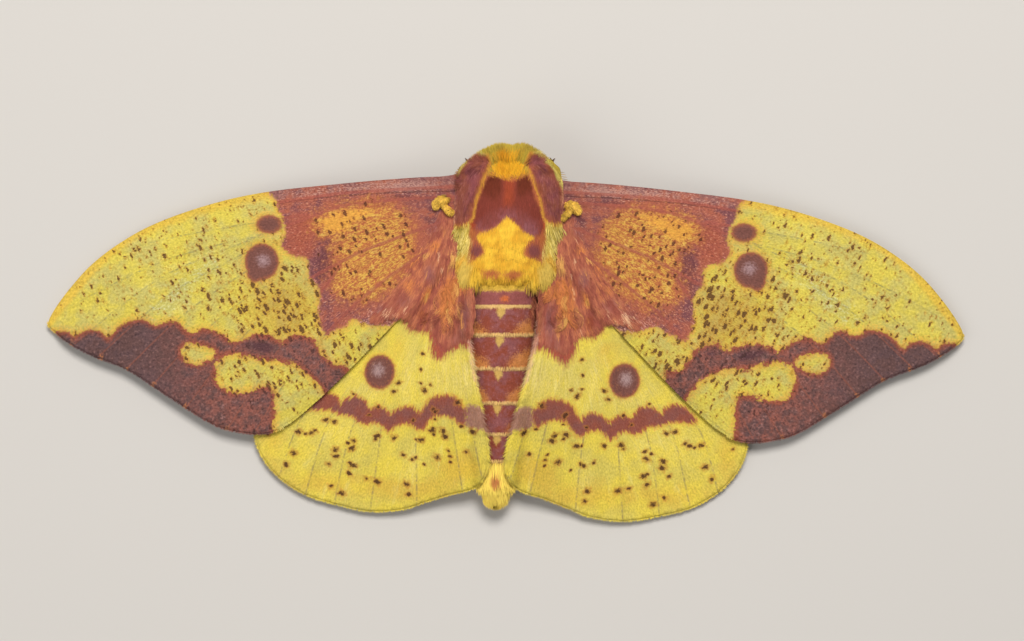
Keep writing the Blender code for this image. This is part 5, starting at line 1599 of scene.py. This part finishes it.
        centres, normals = draped(flat, outward, length, 0.0, 0.0, 0.0, side, wing, over, rng, "short")
        low, high = flat.min(axis=0), flat.max(axis=0)
        own = fields_of(flat, veins, seed + SEED_SHIFT[side])
        unwrap = (flat - low) / (high - low)
        name = f"{part}_fringe_{side}"
        fringe = tufts(name, centres, normals, 0.1, unwrap, lambda seen, own=own: own, finish, rng)

    # The yellow hooked tuft on each forewing's root: a thick stalk under a rounded cap.
    stalk = smooth_line([(7.0, 15.1), (7.45, 15.5), (7.95, 16.1)], 0.04)
    cap = smooth_line([(7.8, 16.8), (8.25, 16.7), (8.7, 16.5), (9.0, 16.0)], 0.02)
    path = np.concatenate([stalk, cap])
    steps = np.arange(len(path))
    girth = np.where(steps < len(stalk), STALK_GIRTH, CAP_GIRTH)
    girth += 0.09 * np.sin(steps * 0.4) + 0.05 * np.sin(steps * 1.1)
    pick = rng.integers(0, len(path), HOOK_TUFTS)
    there = to_side(path[pick], side, *FORE_WING)
    turn, tilt = rng.uniform(0, 2 * np.pi, len(pick)), rng.uniform(0.0, 1.0, len(pick))
    flat_out = np.sqrt(1 - tilt**2)
    out = np.stack([np.cos(turn) * flat_out, np.sin(turn) * flat_out, tilt], axis=-1)
    height = forewing_height(there[:, 0], there[:, 1]) + HOOK_HEIGHT
    roots = np.column_stack([there, height]) + out * (girth[pick] * 0.85)[:, None]
    lies = unit(out * np.array([0.6, 0.6, 0.1]) + np.array([sign * 0.45, -0.75, 0.0]))
    unwrap = np.stack([turn / (2 * np.pi), 0.1 + 0.8 * tilt], axis=-1)
    centres = swept(roots, out, lies, 0.55, 0.35, 0.12, rng)
    gold = plain_fields(lambda seen: np.full(len(seen), 1.0))
    hook = tufts(f"root_hook_{side}", centres, out, 0.12, unwrap, gold, HAIR_FINISH, rng)


# The eyes, feelers, palps and legs, all below the body. The eyes are dark and smooth. The feelers are thin
# horn-brown stems with two rows of fine rays on their outer half. The legs and the short palps are slim and
# furred, and each leg ends in two claws.

EYE_PLACE, EYE_RADIUS = (2.95, 22.85, 4.3), 1.05
EYE_RINGS, EYE_SIDES = 26, 40
PALP_TUFTS, LEG_TUFTS = 600, 1200
SOLE = 0.35  # no fur grows lower than this, where a foot stands on the ground
SLENDER = 0.72  # a bare leg is so much thinner than its furred width
LEGS = {
    "fore": [(1.6, 17.2, 3.4, 1.0), (2.6, 18.6, 2.0, 0.85), (4.4, 19.8, 2.9, 0.65), (5.0, 20.3, 2.3, 0.5),
             (5.3, 21.2, 0.7, 0.42), (5.5, 22.0, 0.25, 0.38), (5.6, 22.9, 0.2, 0.3)],
    "mid": [(1.8, 12.8, 3.4, 1.1), (3.4, 12.9, 2.2, 0.95), (6.8, 13.4, 4.0, 0.75), (7.7, 13.6, 3.6, 0.6),
            (10.2, 14.2, 0.9, 0.45), (11.2, 14.6, 0.3, 0.38), (12.6, 15.2, 0.2, 0.3)],
    "hind": [(1.8, 8.4, 3.6, 1.1), (3.4, 7.7, 2.3, 0.95), (6.2, 4.6, 3.5, 0.75), (6.9, 3.6, 3.2, 0.6),
             (8.6, -0.4, 0.9, 0.45), (9.2, -1.6, 0.3, 0.38), (9.9, -3.4, 0.2, 0.3)],
}  # fmt: skip
ANTENNA_PATH = [(1.3, 23.4, 5.7), (2.1, 24.0, 5.2), (3.2, 23.9, 4.6), (4.35, 23.4, 4.0), (5.5, 22.3, 3.8),
                (6.6, 20.4, 4.1), (7.5, 17.6, 4.6), (8.3, 14.8, 4.8), (8.9, 12.2, 4.6)]  # fmt: skip
COMB_FROM, COMB_TO, COMB_PAIRS, COMB_LENGTH = 0.42, 0.93, 30, 1.25
PALP_PATH = [(0.75, 23.3, 3.9), (0.85, 24.3, 3.3), (0.9, 24.75, 3.9)]


def sided(points, sign):
    """Points given for the right side of a straight body, on this side of the slanting one."""
    points = np.array(points, float)
    points[:, 0] = spine_x(points[:, 1]) + sign * points[:, 0]
    return points


def tube(line, radii, sides, floor=None):
    """(places, faces) of a closed round tube along the line, kept above the floor."""
    ahead = unit(np.gradient(line, axis=0))
    across = unit(np.cross(ahead, (0.0, 0.0, 1.0)) + np.array([1e-6, 0.0, 0.0]))
    over = np.cross(across, ahead)
    turn = 2 * np.pi * np.arange(sides) / sides
    girth = np.asarray(radii)[:, None, None]
    rings = line[:, None] + girth * (
        across[:, None] * np.cos(turn)[None, :, None] + over[:, None] * np.sin(turn)[None, :, None]
    )
    places = np.concatenate([rings.reshape(-1, 3), line[:1], line[-1:]])
    if floor is not None:
        places[:, 2] = np.maximum(places[:, 2], floor)
    return places, closed_rings(len(line), sides)


def ball(middle, radius, rings, sides):
    """(places, faces) of a ball."""
    down, turn = np.meshgrid(
        np.linspace(0.0, np.pi, rings + 2)[1:-1], 2 * np.pi * np.arange(sides) / sides, indexing="ij"
    )  # fmt: skip
    out = np.stack([np.sin(down) * np.cos(turn), np.sin(down) * np.sin(turn), np.cos(down)], axis=-1)
    poles = np.array([(0.0, 0.0, 1.0), (0.0, 0.0, -1.0)])
    return middle + radius * np.concatenate([out.reshape(-1, 3), poles]), closed_rings(rings, sides)[:, ::-1]


def around_line(line, spot, turn, upright):
    """Places along a line, the way it runs there, and the way out of it at this turn round it."""
    low = spot.astype(int)
    share = (spot - low)[:, None]
    ahead = unit(line[low + 1] - line[low])
    across = unit(np.cross(ahead, upright))
    out = across * np.cos(turn)[:, None] + np.cross(across, ahead) * np.sin(turn)[:, None]
    return line[low] * (1 - share) + line[low + 1] * share, ahead, out


def joined(parts):
    """(places, faces) of several meshes as one."""
    places, faces, start = [], [], 0
    for these, those in parts:
        places.append(these)
        faces.append(np.asarray(those) + start)
        start += len(these)
    return np.concatenate(places), np.concatenate(faces)


def horn_finish(name, colour, roughness):
    """Horn with a fine grain along it."""
    made = Finish(name)
    where = made.node("ShaderNodeTexCoord", {}, output="Object")
    grain = made.noise(where, 3500.0, 2.0)
    dark = tuple(c * 0.6 for c in colour[:3]) + (1.0,)
    return made.done(made.mix(grain.rise(0.35, 0.65), dark, colour), roughness, grain, 0.2, 0.05)


EYE_FINISH = horn_finish("eye_dark", rgb(46, 30, 26), 0.18)
HORN_FINISH = horn_finish("feeler_horn", rgb(196, 158, 84), 0.55)


def leg_finish():
    """Short olive-brown hair, yellower on the thighs."""
    made = Finish("leg_hair")
    grain = made.noise(made.place("place"), 4.0, 2.0) - 0.5
    colour = made.mix((grain + made.field("bright")).rise(0.0, 1.0), rgb(112, 78, 44), rgb(196, 160, 78))
    # Painted shade: each tuft darker towards its root, the bare leg skin darkest.
    light = 0.9 + made.field("tip") * 0.2 + (made.field("tone") - 0.5) * 0.3
    return made.done(shaded(made, colour, light), 0.75, Specular_IOR_Level=0.2)


LEG_FINISH = leg_finish()
leg_fields = plain_fields(lambda seen: eases(seen[:, 2], 1.0, 3.4))


for side, sign in SIDES.items():
    round_eye = ball(sided([EYE_PLACE], sign)[0], EYE_RADIUS, EYE_RINGS, EYE_SIDES)
    eye = put(f"eye_ball_{side}", *round_eye, EYE_FINISH)
    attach(eye, "root")
    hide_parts(f"eye_{side}")

    stem = smooth_line(sided(ANTENNA_PATH, sign), 0.25)
    parts = [tube(stem, np.linspace(0.2, 0.07, len(stem)), 10)]
    last = len(stem) - 1
    for pair in range(COMB_PAIRS):
        share = pair / (COMB_PAIRS - 1)
        spot = (COMB_FROM + (COMB_TO - COMB_FROM) * share) * last
        low = min(int(spot), last - 1)
        base = stem[low] + (stem[low + 1] - stem[low]) * (spot - low)
        ahead = unit(stem[low + 1] - stem[low])
        across = unit(np.cross(ahead, (0.0, 0.0, 1.0)))
        length = COMB_LENGTH * (0.55 + 0.45 * math.sin(math.pi * (0.15 + 0.75 * share)))
        for way in (1.0, -1.0):
            reach = unit(across * way + ahead * 0.45)
            bend = np.array([0.0, 0.4, 0.8, 1.0])[:, None]
            ray = base + reach * length * bend + ahead * length * 0.12 * bend**2
            parts.append(tube(ray, [0.05, 0.045, 0.035, 0.015], 5))
    feeler = put(f"feeler_{side}", *joined(parts), HORN_FINISH)
    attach(feeler, "root")
    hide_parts(f"antenna_{side}")

    line = smooth_line(sided(PALP_PATH, sign), 0.12)
    palp_skin = tube(line, np.linspace(0.4, 0.24, len(line)), 14)
    palp = put(f"palp_skin_{side}", *palp_skin, LEG_FINISH, leg_fields(palp_skin[0]))
    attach(palp, "root")
    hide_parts(f"palp_{side}")

    spot, turn = rng.uniform(0.0, 0.82 * len(line), PALP_TUFTS), rng.uniform(0.0, 2 * np.pi, PALP_TUFTS)
    centre, ahead, out = around_line(line, spot, turn, (1.0, 0.0, 0.0))
    centres = swept(centre + out * (0.36 - 0.005 * spot[:, None]), out, ahead, 0.4, 0.4, 0.08, rng)
    unwrap = np.stack([turn / (2 * np.pi), spot / len(line)], axis=-1)
    fur = tufts(f"palp_fur_{side}", centres, out, 0.09, unwrap, leg_fields, LEG_FINISH, rng)

    for name, joints in LEGS.items():
        path = smooth_line(sided(joints, sign), 0.22)
        line, radii = path[:, :3], path[:, 3] * SLENDER
        parts = [tube(line, radii, 14, floor=0.0)]
        ahead = unit(line[-1] - line[-3])
        across = unit(np.cross(ahead, (0.0, 0.0, 1.0)))
        for way in (1.0, -1.0):
            bend = np.array([0.0, 0.3, 0.55, 0.7])[:, None]
            claw = line[-1] + ahead * bend * 0.6 + across * way * bend * 0.5
            claw[:, 2] = [0.2, 0.24, 0.16, 0.05]
            parts.append(tube(claw, [0.1, 0.08, 0.05, 0.02], 8, floor=0.0))
        shank = joined(parts)
        leg = put(f"leg_{name}_{side}_skin", *shank, LEG_FINISH, leg_fields(shank[0]))
        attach(leg, "root")
        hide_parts(f"leg_{name}_{side}")

        spot = rng.uniform(0.05, 0.97, LEG_TUFTS) * (len(line) - 1)
        turn = rng.uniform(0.0, 2 * np.pi, LEG_TUFTS)
        centre, ahead, out = around_line(line, spot, turn, (0.0, 0.0, 1.0))
        girth = np.interp(spot, np.arange(len(radii)), radii)
        roots = centre + out * girth[:, None]
        length = 0.35 + 0.9 * np.clip(girth - 0.3, 0.0, 1.0)
        keep = roots[:, 2] > SOLE
        centres = swept(roots[keep], out[keep], ahead[keep], length[keep], 0.35, 0.05, rng)
        unwrap = np.stack([turn / (2 * np.pi), spot / len(line)], axis=-1)[keep]
        fur = tufts(f"leg_{name}_{side}_fur", centres, out[keep], 0.12, unwrap, leg_fields, LEG_FINISH, rng)


# The floor, the lights and the camera, which looks straight down as the photograph does.

CAMERA_PLACE = (0.53, 1.71, 378.0)
LENS, SENSOR = 100.0, 36.0
FLOOR_REACH = 3.0  # metres


def lamp(name, place, size, watts):
    """A soft square light that faces the moth."""
    data = bpy.data.lights.new(name, "AREA")
    data.size, data.energy = size, watts
    thing = bpy.data.objects.new(name, data)
    thing.location = place
    thing.rotation_euler = (-Vector(place)).to_track_quat("-Z", "Y").to_euler()
    bpy.context.scene.collection.objects.link(thing)


floor_mesh = bpy.data.meshes.new("floor")
corners = [(FLOOR_REACH * x, FLOOR_REACH * y, 0) for x, y in ((-1, -1), (1, -1), (1, 1), (-1, 1))]
floor_mesh.from_pydata(corners, [], [(0, 1, 2, 3)])
floor_mesh.materials.append(Finish("floor_paper").done(rgb(206, 200, 192), 0.9))
floor = bpy.data.objects.new("floor", floor_mesh)
bpy.context.scene.collection.objects.link(floor)
floor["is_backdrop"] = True

lamp("key", (0.04, 0.30, 0.55), 0.22, 3.5)
lamp("fill", (-0.35, -0.25, 0.45), 0.5, 1.0)
world = bpy.data.worlds.new("studio")
world.use_nodes = True
sky = world.node_tree.nodes["Background"].inputs
sky["Color"].default_value = (0.9, 0.92, 0.95, 1.0)
sky["Strength"].default_value = 0.28
bpy.context.scene.world = world
bpy.context.scene.view_settings.view_transform = "Standard"

camera_data = bpy.data.cameras.new("camera")
camera_data.lens, camera_data.sensor_width = LENS, SENSOR
camera = bpy.data.objects.new("camera", camera_data)
camera.location = (np.array(CAMERA_PLACE) - np.array(MIDDLE)) * MM
bpy.context.scene.collection.objects.link(camera)
bpy.context.scene.camera = camera

low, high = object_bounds()
